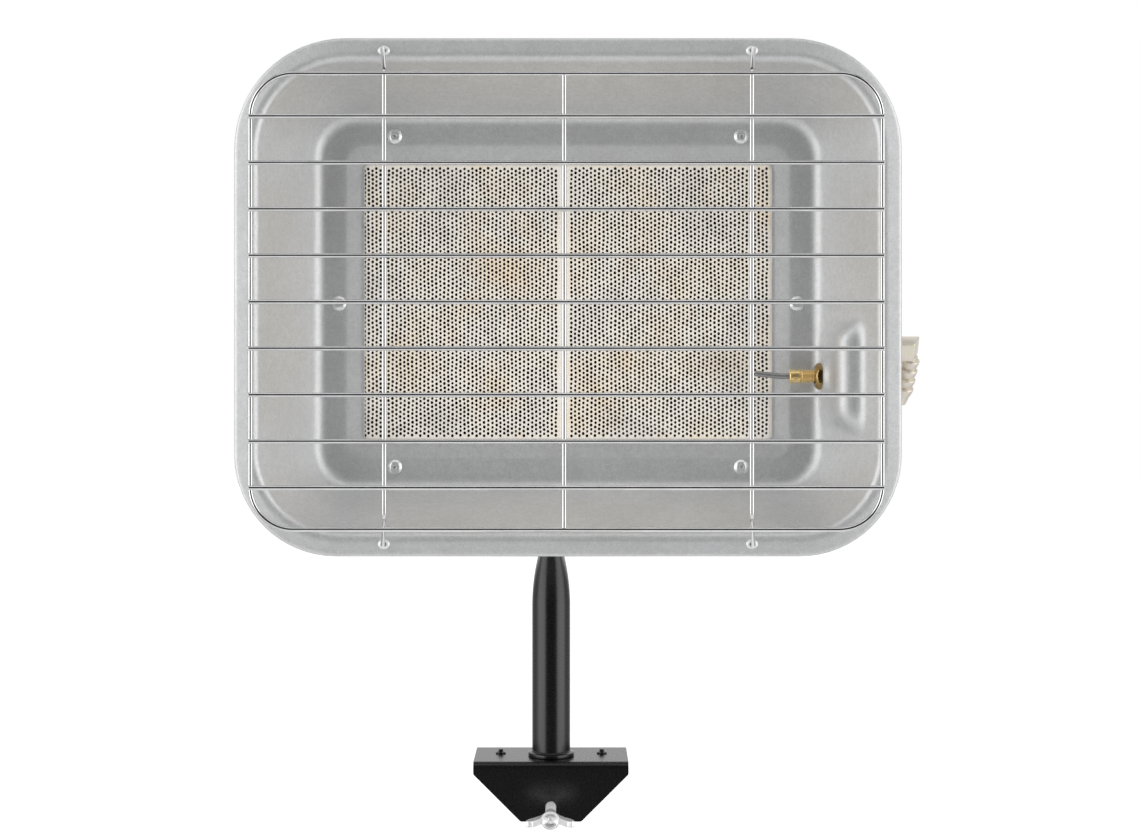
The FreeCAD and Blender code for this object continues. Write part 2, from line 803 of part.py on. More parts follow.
def make_reflector():
    """Drawn bowl with rim, lip, burner opening, boss and thermocouple pad."""
    sheet = reflector_sheet
    half_width = rim_width / 2
    half_height = rim_height / 2
    lip = head_slab(half_width, half_height, rim_corner, 0, rim_lip)
    lip = lip.makeFillet(rim_lip_bend, edges_at_depth(lip, 0, rim_width))
    hollow = head_slab(half_width - sheet, half_height - sheet, rim_corner - sheet, sheet, rim_lip + sheet)
    hollow = hollow.makeFillet(rim_lip_bend - sheet, edges_at_depth(hollow, sheet, rim_width))
    outer_bowl = bowl_solid(sheet)
    outside = fused([lip.cut(hollow), outer_bowl])
    fold_reach = half_width - rim_flange / 2
    outside = outside.makeFillet(rim_bend - sheet, edges_at_depth(outside, sheet, fold_reach))
    front_space = head_slab(half_width + rim_flange, half_height + rim_flange, rim_corner, -rim_flange, 0)
    inside = fused([front_space, bowl_solid(0)])
    inside = inside.makeFillet(rim_bend, edges_at_depth(inside, 0, fold_reach))
    bowl = outside.cut(inside)
    pocket = boss_solid(sheet)
    wall = boss_solid(0).cut(pocket).common(outer_bowl)
    bowl = fused([bowl.cut(pocket), wall])
    pad = rod(pad_disc_radius, pad_reach, head(pad_x, thermo_depth, thermo_z), AXIS_X)
    dish = rod(pad_disc_radius - sheet, pad_reach, head(pad_x + sheet, thermo_depth, thermo_z), AXIS_X)
    disc = pad.cut(dish).cut(pocket).common(outer_bowl)
    bowl = fused([bowl.cut(dish), disc])
    w = step_half_width + sheet
    h = step_half_height + sheet
    step_wall = head_slab(w, h, step_corner + sheet, bowl_depth, ledge_back)
    step_room = head_slab(step_half_width, step_half_height, step_corner, bowl_depth, ledge_back - sheet)
    opening = head_slab(opening_width / 2, opening_height / 2, opening_corner, bowl_depth, ledge_back)
    tray = step_wall.cut(step_room).cut(opening)
    bowl = fused([bowl.cut(step_wall), tray])
    holes = [rod(sleeve_radius + rivet_clearance, pad_reach, head(pad_x, thermo_depth, thermo_z), AXIS_X)]
    for x, z in burner_rivet_places():
        holes.append(rod(rivet_radius + rivet_clearance, 4 * sheet, head(x, bowl_depth - sheet, z), AXIS_Y))
    for x, z in guard_feet():
        holes.append(rod(wire_radius + rivet_clearance, 4 * sheet, head(x, -sheet, z), AXIS_Y))
    return drilled(bowl, holes)


def burner_rivet_places():
    """The six rivets around the burner opening, as (x, z) in the head."""
    places = [(sx * corner_rivet_x, sz * corner_rivet_z) for sx in (-1, 1) for sz in (-1, 1)]
    return places + [(-side_rivet_x, -side_rivet_drop), (side_rivet_x, -side_rivet_drop)]


def make_burner_rivets():
    """Six blind rivets that join reflector and burner housing."""
    grip = reflector_sheet + housing_sheet
    places = burner_rivet_places()
    return Part.makeCompound([blind_rivet(head(x, bowl_depth, z), AXIS_Y, grip) for x, z in places])


def make_burner_housing():
    """Plenum: a pan with a flange behind the reflector's floor."""
    w = housing_half_width + housing_sheet
    h = housing_half_height + housing_sheet
    pan = head_slab(w, h, housing_corner, floor_back, housing_back)
    pan = pan.makeFillet(housing_bend, edges_at_depth(pan, housing_back, rim_width))
    room_back = housing_back - housing_sheet
    corner = housing_corner - housing_sheet
    room = head_slab(housing_half_width, housing_half_height, corner, floor_back, room_back)
    room = room.makeFillet(housing_bend - housing_sheet, edges_at_depth(room, room_back, rim_width))
    flange_corner = housing_corner + housing_flange
    flange_w = w + housing_flange
    flange_h = h + housing_flange_rise
    flange = head_slab(flange_w, flange_h, flange_corner, floor_back, floor_back + housing_sheet)
    pan = fused([pan, flange]).cut(room)
    mixer_hole = rod(mixer_radius, 4 * housing_sheet, head(w - 2 * housing_sheet, gas_depth, gas_z), AXIS_X)
    holes = [mixer_hole]
    for x, z in burner_rivet_places():
        base = head(x, floor_back - housing_sheet, z)
        holes.append(rod(rivet_radius + rivet_clearance, 3 * housing_sheet, base, AXIS_Y))
    for side in (-1, 1):
        for place in ear_rivet_places(side):
            base = place - AXIS_Z * housing_sheet
            holes.append(rod(rivet_radius + rivet_clearance, 3 * housing_sheet, base, AXIS_Z))
    for z in valve_bracket_rivet_heights():
        base = head(w - 2 * housing_sheet, gas_depth, z)
        holes.append(rod(rivet_radius + rivet_clearance, 4 * housing_sheet, base, AXIS_X))
    return drilled(pan, holes)


def make_plaque(side):
    """Ceramic burner plaque, left (-1) or right (1) of the joint."""
    x = plaque_joint / 2 if side > 0 else -plaque_joint / 2 - plaque_width
    corner = head(x - plaque_shift, plaque_front, -plaque_height / 2)
    return Part.makeBox(plaque_width, plaque_thickness, plaque_height, corner)


def make_plaque_joint():
    """Cement strip between the plaques."""
    corner = head(-plaque_joint / 2 - plaque_shift, plaque_front, -plaque_height / 2)
    return Part.makeBox(plaque_joint, plaque_thickness, plaque_height, corner)


def make_plaque_gasket():
    """Fibre frame around the plaques, with a lip in front of their edges."""
    w = housing_half_width
    h = housing_half_height
    frame = head_slab(w, h, housing_corner - housing_sheet, ledge_back, plaque_back)
    seat = head_slab(burner_half_width, burner_half_height, 0, plaque_front, plaque_back)
    seat.translate(V(-plaque_shift, 0, 0))
    w = opening_width / 2 + gasket_overlap
    h = opening_height / 2 + gasket_overlap
    window = head_slab(w, h, opening_corner, ledge_back, plaque_front)
    return frame.cut(seat).cut(window)


def make_plaque_retainer():
    """Frame that presses the plaques forward from the housing's back."""
    w = burner_half_width
    h = burner_half_height
    front = plaque_back
    back = housing_back - housing_sheet
    cover = head_slab(w, h, retainer_sheet, front, front + retainer_sheet)
    window = head_slab(w - retainer_cover, h - retainer_cover, retainer_sheet, front, front + retainer_sheet)
    wall_w = w - retainer_wall_inset
    wall_h = h - retainer_wall_inset
    wall = head_slab(wall_w, wall_h, retainer_corner, front, back)
    corner = retainer_corner - retainer_sheet
    wall = wall.cut(head_slab(wall_w - retainer_sheet, wall_h - retainer_sheet, corner, front, back))
    base = head(wall_w - 2 * retainer_sheet - plaque_shift, gas_depth, gas_z)
    hole = rod(mixer_radius, 4 * retainer_sheet + plaque_shift, base, AXIS_X)
    retainer = fused([cover.cut(window), wall])
    retainer.translate(V(-plaque_shift, 0, 0))
    return retainer.cut(hole)


def make_gas_baffle():
    """Perforated plate that spreads the gas behind the plaques."""
    half = burner_half_width - retainer_wall_inset - retainer_sheet - baffle_end_gap
    front = plaque_back + retainer_sheet
    corner = head(-half - plaque_shift, front, -baffle_height / 2)
    plate = Part.makeBox(2 * half, retainer_sheet, baffle_height, corner)
    holes = []
    for column in range(baffle_columns):
        for row in range(baffle_rows):
            x = (column - (baffle_columns - 1) / 2) * baffle_pitch - plaque_shift
            z = (row - (baffle_rows - 1) / 2) * baffle_pitch
            holes.append(rod(baffle_hole_radius, retainer_sheet, head(x, front, z), AXIS_Y))
    return drilled(plate, holes)


def make_mixing_tube():
    """Venturi: a bell mouth outside the housing and a straight tube inside it."""
    mouth = housing_right + mixer_collar + bell_length
    bore = mixer_radius - mixer_wall
    throat = housing_right + mixer_collar
    points = [(-mixer_inner_reach, mixer_radius), (housing_right, mixer_radius)]
    points += [(housing_right, mixer_collar_radius), (throat, mixer_collar_radius), (throat, mixer_radius)]
    points += [(mouth, bell_radius), (mouth, bell_radius - mixer_wall)]
    points += [(throat, bore), (-mixer_inner_reach, bore)]
    return turned(points, head(0, gas_depth, gas_z), AXIS_X)


def valve_bracket_rivet_heights():
    """Heights of the rivets through the valve bracket's two feet."""
    middle = valve_bracket_half + valve_bracket_foot * 0.6
    return [gas_z - middle, gas_z + middle]


def make_valve_bracket():
    """Folded strap from the housing's right wall to the plate that carries the valve."""
    foot = housing_right + valve_bracket_sheet
    far = valve_bracket_half + valve_bracket_foot
    high = gas_z + valve_bracket_half
    low = gas_z - valve_bracket_half
    points = [(foot, gas_z + far), (foot, high), (plate_right, high)]
    points += [(plate_right, low), (foot, low), (foot, gas_z - far)]
    bend = valve_bracket_bend
    inside_bend = bend - valve_bracket_sheet
    front = gas_depth - valve_bracket_depth / 2
    radii = [0, inside_bend, bend, bend, inside_bend, 0]
    profile = sheet_profile(points, radii, valve_bracket_sheet, lambda x, z: head(x, front, z))
    strap = profile.extrude(V(0, valve_bracket_depth, 0))
    holes = [rod(spigot_radius, 3 * valve_bracket_sheet, head(plate_left, gas_depth, gas_z), AXIS_X)]
    for z in valve_bracket_rivet_heights():
        base = head(housing_right, gas_depth, z)
        holes.append(rod(rivet_radius + rivet_clearance, 2 * valve_bracket_sheet, base, AXIS_X))
    return drilled(strap, holes)


def make_valve_bracket_rivets():
    """Two rivets through the valve bracket's feet."""
    grip = valve_bracket_sheet + housing_sheet
    rivets = []
    for z in valve_bracket_rivet_heights():
        base = head(housing_right + valve_bracket_sheet, gas_depth, z)
        rivets.append(blind_rivet(base, -AXIS_X, grip))
    return Part.makeCompound(rivets)


def make_injector():
    """Brass jet on the valve's spigot, aimed into the mixing tube."""
    seat = head(plate_left, gas_depth, gas_z)
    body = hexagon(injector_across_flats, injector_hex, seat - AXIS_X * injector_hex, AXIS_X)
    reach = injector_hex + injector_tip
    points = [(-injector_hex, 0), (-injector_hex, injector_tip_radius)]
    points += [(injector_cone - reach, injector_tip_radius), (-reach, injector_tip_radius * 0.6), (-reach, 0)]
    nose = turned(points, seat, AXIS_X)
    socket = rod(spigot_radius, spigot_length, seat - AXIS_X * spigot_length, AXIS_X)
    jet = rod(injector_bore_radius, reach, seat - AXIS_X * reach, AXIS_X)
    return fused([body, nose]).cut(fused([socket, jet]))


def make_gas_valve():
    """Valve body: an upright barrel with outlet, inlet, bonnet and magnet housing."""
    axis = head(valve_x, gas_depth, gas_z)
    barrel = rod(valve_radius, valve_up + valve_down, axis - AXIS_Z * valve_down, AXIS_Z)
    bonnet = rod(bonnet_radius, bonnet_height, axis + AXIS_Z * valve_up, AXIS_Z)
    magnet_base = axis - AXIS_Z * (valve_down + magnet_height)
    magnet = rod(magnet_radius, magnet_height, magnet_base, AXIS_Z)
    stub = rod(stub_radius, stub_height, magnet_base - AXIS_Z * stub_height, AXIS_Z)
    outlet = rod(outlet_hub_radius, valve_x - plate_right, head(plate_right, gas_depth, gas_z), AXIS_X)
    spigot_start = plate_left - spigot_length
    spigot = rod(spigot_radius, plate_right - spigot_start, head(spigot_start, gas_depth, gas_z), AXIS_X)
    inlet = rod(inlet_hub_radius, inlet_hub_end - valve_x, axis, AXIS_X)
    body = fused([barrel, bonnet, magnet, stub, outlet, spigot, inlet])
    well = rod(spring_well_radius, spring_well, head(valve_x, gas_depth, valve_top - spring_well), AXIS_Z)
    bore = rod(stem_radius + running_gap, stem_bore, head(valve_x, gas_depth, valve_top - stem_bore), AXIS_Z)
    way_out = rod(gas_bore_radius, valve_x - spigot_start, head(spigot_start, gas_depth, gas_z), AXIS_X)
    way_in = rod(gas_bore_radius, inlet_hub_end - valve_x, axis, AXIS_X)
    return drilled(body, [well, bore, way_out, way_in])


def make_valve_button():
    """Push button on top of the valve."""
    button = rod(button_radius, button_height, head(valve_x, gas_depth, button_base), AXIS_Z)
    rim = round_edges(button, head_z + button_base + button_height, 2)
    return button.makeFillet(button_round, rim)


def make_valve_stem():
    """Stem under the button, running in the valve's bore."""
    base = head(valve_x, gas_depth, button_base - stem_below_button)
    return rod(stem_radius, stem_below_button, base, AXIS_Z)


def make_button_spring():
    """Return spring around the stem, between the well's floor and the button."""
    bottom = valve_top - spring_well + spring_wire_radius
    rise = button_base - spring_wire_radius - bottom
    quarters = 4 * spring_turns
    arcs = []
    for i in range(quarters):
        points = []
        for part in (0, 0.5, 1):
            turn = (i + part) / 4
            angle = 2 * math.pi * turn
            x = valve_x + spring_radius * math.cos(angle)
            depth = gas_depth + spring_radius * math.sin(angle)
            points.append(head(x, depth, bottom + rise * turn / spring_turns))
        arcs.append(Part.Arc(*points).toShape())
    print("spring gap between turns", round(rise / spring_turns - 2 * spring_wire_radius, 2))
    path = Part.Wire(arcs)
    start = head(valve_x + spring_radius, gas_depth, bottom)
    heading = arcs[0].tangentAt(arcs[0].FirstParameter)
    section = Part.Wire(Part.Circle(start, heading, spring_wire_radius).toShape())
    return path.makePipeShell([section], True, False)


def make_inlet_seal():
    """Flat seal between the valve's inlet and the elbow."""
    return ring(seal_radius, gas_bore_radius, seal_thickness, head(inlet_hub_end, gas_depth, gas_z), AXIS_X)


def make_inlet_nut():
    """Union nut that holds the elbow's flange on the inlet."""
    start = inlet_hub_end - union_lap
    body = hexagon(union_across_flats, union_length, head(start, gas_depth, gas_z), AXIS_X)
    room = union_lap + seal_thickness + elbow_flange
    wide = rod(inlet_hub_radius, room, head(start, gas_depth, gas_z), AXIS_X)
    narrow = rod(arm_radius, union_length, head(start, gas_depth, gas_z), AXIS_X)
    return body.cut(fused([wide, narrow]))


def make_hose_elbow():
    """Elbow: flanged arm, wedge-shaped block and a barbed nozzle that leans down and back."""
    centre = head(elbow_x, gas_depth, gas_z)
    half = elbow_depth / 2
    points = [(-elbow_left, -half), (elbow_right_front, -half), (elbow_right_back, half), (-elbow_left, half)]
    plan = outline(points, [elbow_round] * 4, lambda x, y: centre + V(x, y, -elbow_height / 2))
    block = plan.extrude(V(0, 0, elbow_height))
    points = [(0, 0), (0, collar_radius), (collar_end, collar_radius), (collar_end, barb_root)]
    for i in range(barb_count):
        lip = barb_first + barb_pitch * i
        points += [(lip, barb_root), (lip, barb_radius), (lip + barb_cone, barb_root)]
    points += [(nozzle_end, nozzle_tip_radius), (nozzle_end, 0)]
    nozzle = fused([block, turned(points, centre, -AXIS_Z)])
    nozzle = nozzle.cut(rod(nozzle_bore_radius, nozzle_end, centre, -AXIS_Z))
    nozzle.rotate(centre, AXIS_X, elbow_lean)
    start = inlet_hub_end + seal_thickness
    flange = rod(seal_radius, elbow_flange, head(start, gas_depth, gas_z), AXIS_X)
    arm = rod(arm_radius, elbow_x - start, head(start, gas_depth, gas_z), AXIS_X)
    bore = rod(gas_bore_radius, elbow_x - start, head(start, gas_depth, gas_z), AXIS_X)
    return fused([nozzle, flange, arm]).cut(bore)


def make_thermocouple_probe():
    """Steel probe, kicked up a little towards its tip."""
    tail = head(pad_x + probe_tail, thermo_depth, thermo_z)
    bend = head(pad_x - probe_straight, thermo_depth, thermo_z)
    tip = head(pad_x - probe_reach, thermo_depth + probe_kick, thermo_z + probe_kick)
    return bent_rod([tail, bend, tip], [0, probe_bend, 0], probe_radius)


def make_thermocouple_sleeve():
    """Brass sleeve: slotted plain end, then a thread through the pad."""
    front = pad_x - sleeve_front
    thread_start = front + sleeve_plain
    end = pad_x + sleeve_back
    bore = probe_radius + running_gap
    points = [(front, bore), (front, sleeve_plain_radius), (thread_start, sleeve_plain_radius)]
    crests = int((end - thread_start) / thread_pitch)
    for i in range(crests):
        along = thread_start + i * thread_pitch
        points += [(along + thread_pitch * 0.1, sleeve_radius - thread_depth)]
        points += [(along + thread_pitch * 0.45, sleeve_radius), (along + thread_pitch * 0.65, sleeve_radius)]
    points += [(end, sleeve_radius - thread_depth), (end, bore)]
    sleeve = turned(points, head(0, thermo_depth, thermo_z), AXIS_X)
    slot_corner = head(front, thermo_depth - 2 * sleeve_radius, thermo_z - sleeve_slot / 2)
    slot = Part.makeBox(sleeve_slot_length, 2 * sleeve_radius, sleeve_slot, slot_corner)
    return sleeve.cut(slot)


def make_thermocouple_locknuts():
    """Brass nuts on both faces of the pad."""
    nuts = []
    for x in (pad_x - locknut_thickness, pad_x + reflector_sheet):
        base = head(x, thermo_depth, thermo_z)
        bore = rod(sleeve_radius, locknut_thickness, base, AXIS_X)
        nuts.append(hexagon(locknut_across_flats, locknut_thickness, base, AXIS_X).cut(bore))
    return Part.makeCompound(nuts)


def make_thermocouple_lead():
    """Copper lead from the probe's tail, down and round to the valve's underside."""
    start = pad_x + probe_tail
    points = [head(start, thermo_depth, thermo_z), head(valve_x, thermo_depth, thermo_z)]
    points += [head(valve_x, thermo_depth, -lead_low), head(valve_x, gas_depth, -lead_low)]
    points += [head(valve_x, gas_depth, valve_bottom - cap_nut_height + cap_nut_lap + lead_entry)]
    return bent_rod(points, [lead_bend] * len(points), lead_radius)


def make_thermocouple_union():
    """Cap nut that holds the lead's end on the valve's stub."""
    base = head(valve_x, gas_depth, valve_bottom + cap_nut_lap - cap_nut_height)
    body = hexagon(cap_nut_across_flats, cap_nut_height, base, AXIS_Z)
    socket = rod(stub_radius, cap_nut_lap, head(valve_x, gas_depth, valve_bottom), AXIS_Z)
    hole = rod(lead_radius, cap_nut_height, base, AXIS_Z)
    return body.cut(fused([socket, hole]))


def make_guard_rim_wire():
    """Closed wire round the guard's edge."""
    w = guard_width / 2 - wire_radius
    h = guard_height / 2 - wire_radius
    pieces = []
    for sx in (-1, 1):
        side_foot = head(sx * w - guard_left, -guard_stand, guard_corner - h - guard_drop)
        pieces.append(rod(wire_radius, 2 * (h - guard_corner), side_foot, AXIS_Z))
        edge_start = head(guard_corner - w - guard_left, -guard_stand, sx * h - guard_drop)
        pieces.append(rod(wire_radius, 2 * (w - guard_corner), edge_start, AXIS_X))
        for sz in (-1, 1):
            x = sx * (w - guard_corner) - guard_left
            centre = head(x, -guard_stand, sz * (h - guard_corner) - guard_drop)
            start = centre + AXIS_X * (sx * guard_corner)
            section = Part.Face(Part.Wire(Part.Circle(start, AXIS_Z, wire_radius).toShape()))
            pieces.append(section.revolve(centre, AXIS_Y, -90 * sx * sz))
    return fused(pieces)


def make_guard_cross_wires():
    """Level wires across the front of the guard."""
    front = -guard_stand - 2 * wire_radius + weld_sink
    wires = []
    for i in range(cross_wires):
        z = (i - (cross_wires - 1) / 2) * cross_pitch - cross_drop
        start = head(-guard_left - guard_width / 2, front, z)
        wires.append(rod(wire_radius, guard_width, start, AXIS_X))
    return Part.makeCompound(wires)


def guard_feet():
    """Places on the rim where the guard's feet go through, as (x, z) in the head."""
    z = rim_height / 2 - rim_flange / 2
    return [(sx * foot_x, sz * z) for sx in (-1, 1) for sz in (-1, 1)]


def make_guard_upright_wires():
    """Two footed wires and a plain one, behind the cross wires."""
    foot_z = rim_height / 2 - rim_flange / 2
    top = guard_height / 2 - guard_drop - upright_bend_start
    bottom = -guard_height / 2 - guard_drop + upright_bend_start
    wires = []
    for sx in (-1, 1):
        points = [head(sx * foot_x, foot_through, foot_z), head(sx * foot_x, -foot_straight, foot_z)]
        points += [head(sx * upright_x, -guard_stand, top), head(sx * upright_x, -guard_stand, bottom)]
        points += [head(sx * foot_x, -foot_straight, -foot_z), head(sx * foot_x, foot_through, -foot_z)]
        wires.append(bent_rod(points, [0, foot_bend, upright_bend, upright_bend, foot_bend, 0], wire_radius))
    length = guard_height - 4 * wire_radius + 2 * weld_sink
    base = head(-middle_upright_left, -guard_stand, -guard_drop - length / 2)
    wires.append(rod(wire_radius, length, base, AXIS_Z))
    return Part.makeCompound(wires)


def make_guard_retainers():
    """Push-on discs that hold the guard's feet on the rim."""
    discs = []
    for x, z in guard_feet():
        points = [(0, wire_radius + running_gap), (0, retainer_disc_radius)]
        points += [(-retainer_disc * 0.5, retainer_disc_radius * 0.9)]
        points += [(-retainer_disc, retainer_disc_radius * 0.5), (-retainer_disc, wire_radius + running_gap)]
        discs.append(turned(points, head(x, 0, z), AXIS_Y))
    return Part.makeCompound(discs)


NODES = {
    "clamp_bracket": make_clamp_bracket(),
    "jaw_liner": make_jaw_liner(),
    "liner_rivets": make_liner_rivets(),
    "clamp_nut": make_clamp_nut(),
    "clamp_pad": make_clamp_pad(),
    "clamp_screw": make_clamp_screw(),
    "clamp_wing": make_clamp_wing(),
    "stand_tube": make_stand_tube(),
    "tube_flange": make_tube_flange(),
    "tube_plug": make_tube_plug(),
    "tube_bolt": make_tube_bolt(),
    "tube_washer": make_tube_washer(),
    "pivot_ear_left": pivot_ear(-1),
    "pivot_ear_right": pivot_ear(1),
    "ear_rivets": make_ear_rivets(),
    "pivot_washers": make_pivot_washers(),
    "pivot_bolt": make_pivot_bolt(),
    "pivot_nut": make_pivot_nut(),
    "reflector": make_reflector(),
    "burner_rivets": make_burner_rivets(),
    "burner_housing": make_burner_housing(),
    "plaque_left": make_plaque(-1),
    "plaque_right": make_plaque(1),
    "plaque_joint": make_plaque_joint(),
    "plaque_gasket": make_plaque_gasket(),
    "plaque_retainer": make_plaque_retainer(),
    "gas_baffle": make_gas_baffle(),
    "mixing_tube": make_mixing_tube(),
    "valve_bracket": make_valve_bracket(),
    "valve_bracket_rivets": make_valve_bracket_rivets(),
    "injector": make_injector(),
    "gas_valve": make_gas_valve(),
    "valve_button": make_valve_button(),
    "valve_stem": make_valve_stem(),
    "button_spring": make_button_spring(),
    "inlet_seal": make_inlet_seal(),
    "inlet_nut": make_inlet_nut(),
    "hose_elbow": make_hose_elbow(),
    "thermocouple_probe": make_thermocouple_probe(),
    "thermocouple_sleeve": make_thermocouple_sleeve(),
    "thermocouple_locknuts": make_thermocouple_locknuts(),
    "thermocouple_lead": make_thermocouple_lead(),
    "thermocouple_union": make_thermocouple_union(),
    "guard_rim_wire": make_guard_rim_wire(),
    "guard_cross_wires": make_guard_cross_wires(),
    "guard_upright_wires": make_guard_upright_wires(),
    "guard_retainers": make_guard_retainers(),
}

os.makedirs("parts", exist_ok=True)
for name, shape in NODES.items():
    print(name, len(shape.Solids), shape.isValid(), round(shape.Volume, 1))
    shape.exportStep("parts/" + name + ".step")
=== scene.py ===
import json
import math

import bmesh
import bpy
import numpy as np
from mathutils import Matrix, Vector


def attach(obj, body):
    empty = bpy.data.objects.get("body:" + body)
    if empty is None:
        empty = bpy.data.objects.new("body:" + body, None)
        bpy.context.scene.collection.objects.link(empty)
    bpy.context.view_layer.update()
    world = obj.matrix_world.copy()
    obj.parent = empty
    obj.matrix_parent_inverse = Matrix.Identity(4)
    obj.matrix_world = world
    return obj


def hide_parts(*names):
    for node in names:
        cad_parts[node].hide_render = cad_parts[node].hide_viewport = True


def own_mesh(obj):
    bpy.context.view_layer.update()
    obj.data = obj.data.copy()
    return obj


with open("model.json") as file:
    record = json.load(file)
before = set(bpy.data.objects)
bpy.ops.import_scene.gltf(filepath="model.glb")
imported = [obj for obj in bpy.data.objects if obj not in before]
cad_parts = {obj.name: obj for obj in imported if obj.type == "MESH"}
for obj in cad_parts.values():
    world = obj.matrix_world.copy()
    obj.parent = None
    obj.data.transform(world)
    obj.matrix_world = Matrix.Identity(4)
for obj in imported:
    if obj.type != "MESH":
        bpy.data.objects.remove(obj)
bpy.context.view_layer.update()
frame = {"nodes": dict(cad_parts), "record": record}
nodes = frame["nodes"]
MM = 0.001

# Lengths are in millimetres, apart from those of materials, lights and the floor, which are in metres.
# The head's own frame: right of the rim's centre, behind the rim's face, above the centre.
HEAD = np.array([9.7, -105.5, 285.5])
BOWL_DEPTH = 57.0
SENSOR_DEPTH, SENSOR_Z = 44.0, -42.0
VALVE_X, VALVE_DEPTH = 167.0, 88.0
TUBE_Y, BRACKET_TOP = -20.5, 25.0


def head(x, depth, z):
    """A point of the head in metres."""
    return Vector((HEAD[0] + x, HEAD[1] + depth, HEAD[2] + z)) * MM


def head_path(points):
    """Points of the head in metres."""
    return [head(*p) for p in points]


# Materials

WHITE = (1, 1, 1)


def grey(value):
    """A colour without hue."""
    return (value, value, value)


def feed(tree, socket, value):
    """Give a socket its value, which is another socket or a constant."""
    if isinstance(value, bpy.types.NodeSocket):
        tree.links.new(value, socket)
    else:
        socket.default_value = value


def new_material(name):
    """An empty material, its tree, its Principled shader and its object coordinates."""
    material = bpy.data.materials.new(name)
    material.use_nodes = True
    tree = material.node_tree
    shader = tree.nodes["Principled BSDF"]
    place = tree.nodes.new("ShaderNodeTexCoord")
    return material, tree, shader, place.outputs["Object"]


def noise(tree, vector, size, detail, roughness=0.55):
    """Noise whose features are about size metres across."""
    node = tree.nodes.new("ShaderNodeTexNoise")
    node.inputs["Scale"].default_value = 1 / size
    node.inputs["Detail"].default_value = detail
    node.inputs["Roughness"].default_value = roughness
    tree.links.new(vector, node.inputs["Vector"])
    return node.outputs["Fac"]


def cells(tree, vector, size):
    """A random grey for each cell of a crystal-like pattern."""
    node = tree.nodes.new("ShaderNodeTexVoronoi")
    node.inputs["Scale"].default_value = 1 / size
    tree.links.new(vector, node.inputs["Vector"])
    split = tree.nodes.new("ShaderNodeSeparateColor")
    tree.links.new(node.outputs["Color"], split.inputs["Color"])
    return split.outputs["Red"]


def ramp(tree, factor, stops):
    """Colours along a factor: stops are (place, colour)."""
    node = tree.nodes.new("ShaderNodeValToRGB")
    band = node.color_ramp
    while len(band.elements) < len(stops):
        band.elements.new(0.5)
    for element, (place, colour) in zip(band.elements, stops):
        element.position = place
        element.color = (*colour, 1)
    tree.links.new(factor, node.inputs["Fac"])
    return node.outputs["Color"]


def spread(tree, factor, low, high, start=0.3, end=0.7):
    """A number that goes from low to high while a factor goes from start to end."""
    node = tree.nodes.new("ShaderNodeMapRange")
    node.inputs["From Min"].default_value = start
    node.inputs["From Max"].default_value = end
    node.inputs["To Min"].default_value = low
    node.inputs["To Max"].default_value = high
    tree.links.new(factor, node.inputs["Value"])
    return node.outputs["Result"]


def mixed(tree, factor, first, second, mode="MIX"):
    """Two colours mixed by a factor: each of the three is a constant or a socket."""
    node = tree.nodes.new("ShaderNodeMix")
    node.data_type = "RGBA"
    node.blend_type = mode
    for key, value in (("Factor", factor), ("A", first), ("B", second)):
        feed(tree, node.inputs[key], value)
    return node.outputs["Result"]


def multiplied(tree, first, *others):
    """Colours multiplied with each other."""
    for other in others:
        first = mixed(tree, 1.0, first, other, "MULTIPLY")
    return first


def bump(tree, shader, height, distance):
    """Surface relief of a real depth in metres."""
    node = tree.nodes.new("ShaderNodeBump")
    node.inputs["Distance"].default_value = distance
    node.inputs["Strength"].default_value = 1.0
    tree.links.new(height, node.inputs["Height"])
    tree.links.new(node.outputs["Normal"], shader.inputs["Normal"])


def grainy(name, dark, light, metallic, rough, grain, relief, specular=0.5):
    """Material with a fine grain in colour, roughness and relief. rough is (low, high)."""
    material, tree, shader, place = new_material(name)
    fine = noise(tree, place, grain, 5.0, 0.6)
    broad = noise(tree, place, grain * 22, 3.0)
    colour = ramp(tree, fine, [(0.3, dark), (0.7, light)])
    shade = ramp(tree, broad, [(0.3, grey(0.86)), (0.7, WHITE)])
    tree.links.new(multiplied(tree, colour, shade), shader.inputs["Base Color"])
    tree.links.new(spread(tree, fine, *rough), shader.inputs["Roughness"])
    shader.inputs["Metallic"].default_value = metallic
    shader.inputs["Specular IOR Level"].default_value = specular
    bump(tree, shader, fine, relief)
    return material


def galvanised_material():
    """Zinc-coated sheet: faint crystals, fine grain and soft broad clouds."""
    material, tree, shader, place = new_material("galvanised_sheet")
    crystal = cells(tree, place, 0.0021)
    fine = noise(tree, place, 0.0007, 4.0, 0.6)
    broad = noise(tree, place, 0.035, 3.0)
    grain = ramp(tree, fine, [(0.28, (0.66, 0.666, 0.672)), (0.72, (0.84, 0.847, 0.855))])
    flake = ramp(tree, crystal, [(0.0, grey(0.93)), (1.0, WHITE)])
    cloud = ramp(tree, broad, [(0.3, (0.93, 0.93, 0.92)), (0.7, WHITE)])
    tree.links.new(multiplied(tree, grain, flake, cloud), shader.inputs["Base Color"])
    tree.links.new(spread(tree, fine, 0.42, 0.52), shader.inputs["Roughness"])
    shader.inputs["Metallic"].default_value = 0.72
    bump(tree, shader, fine, 0.000012)
    return material


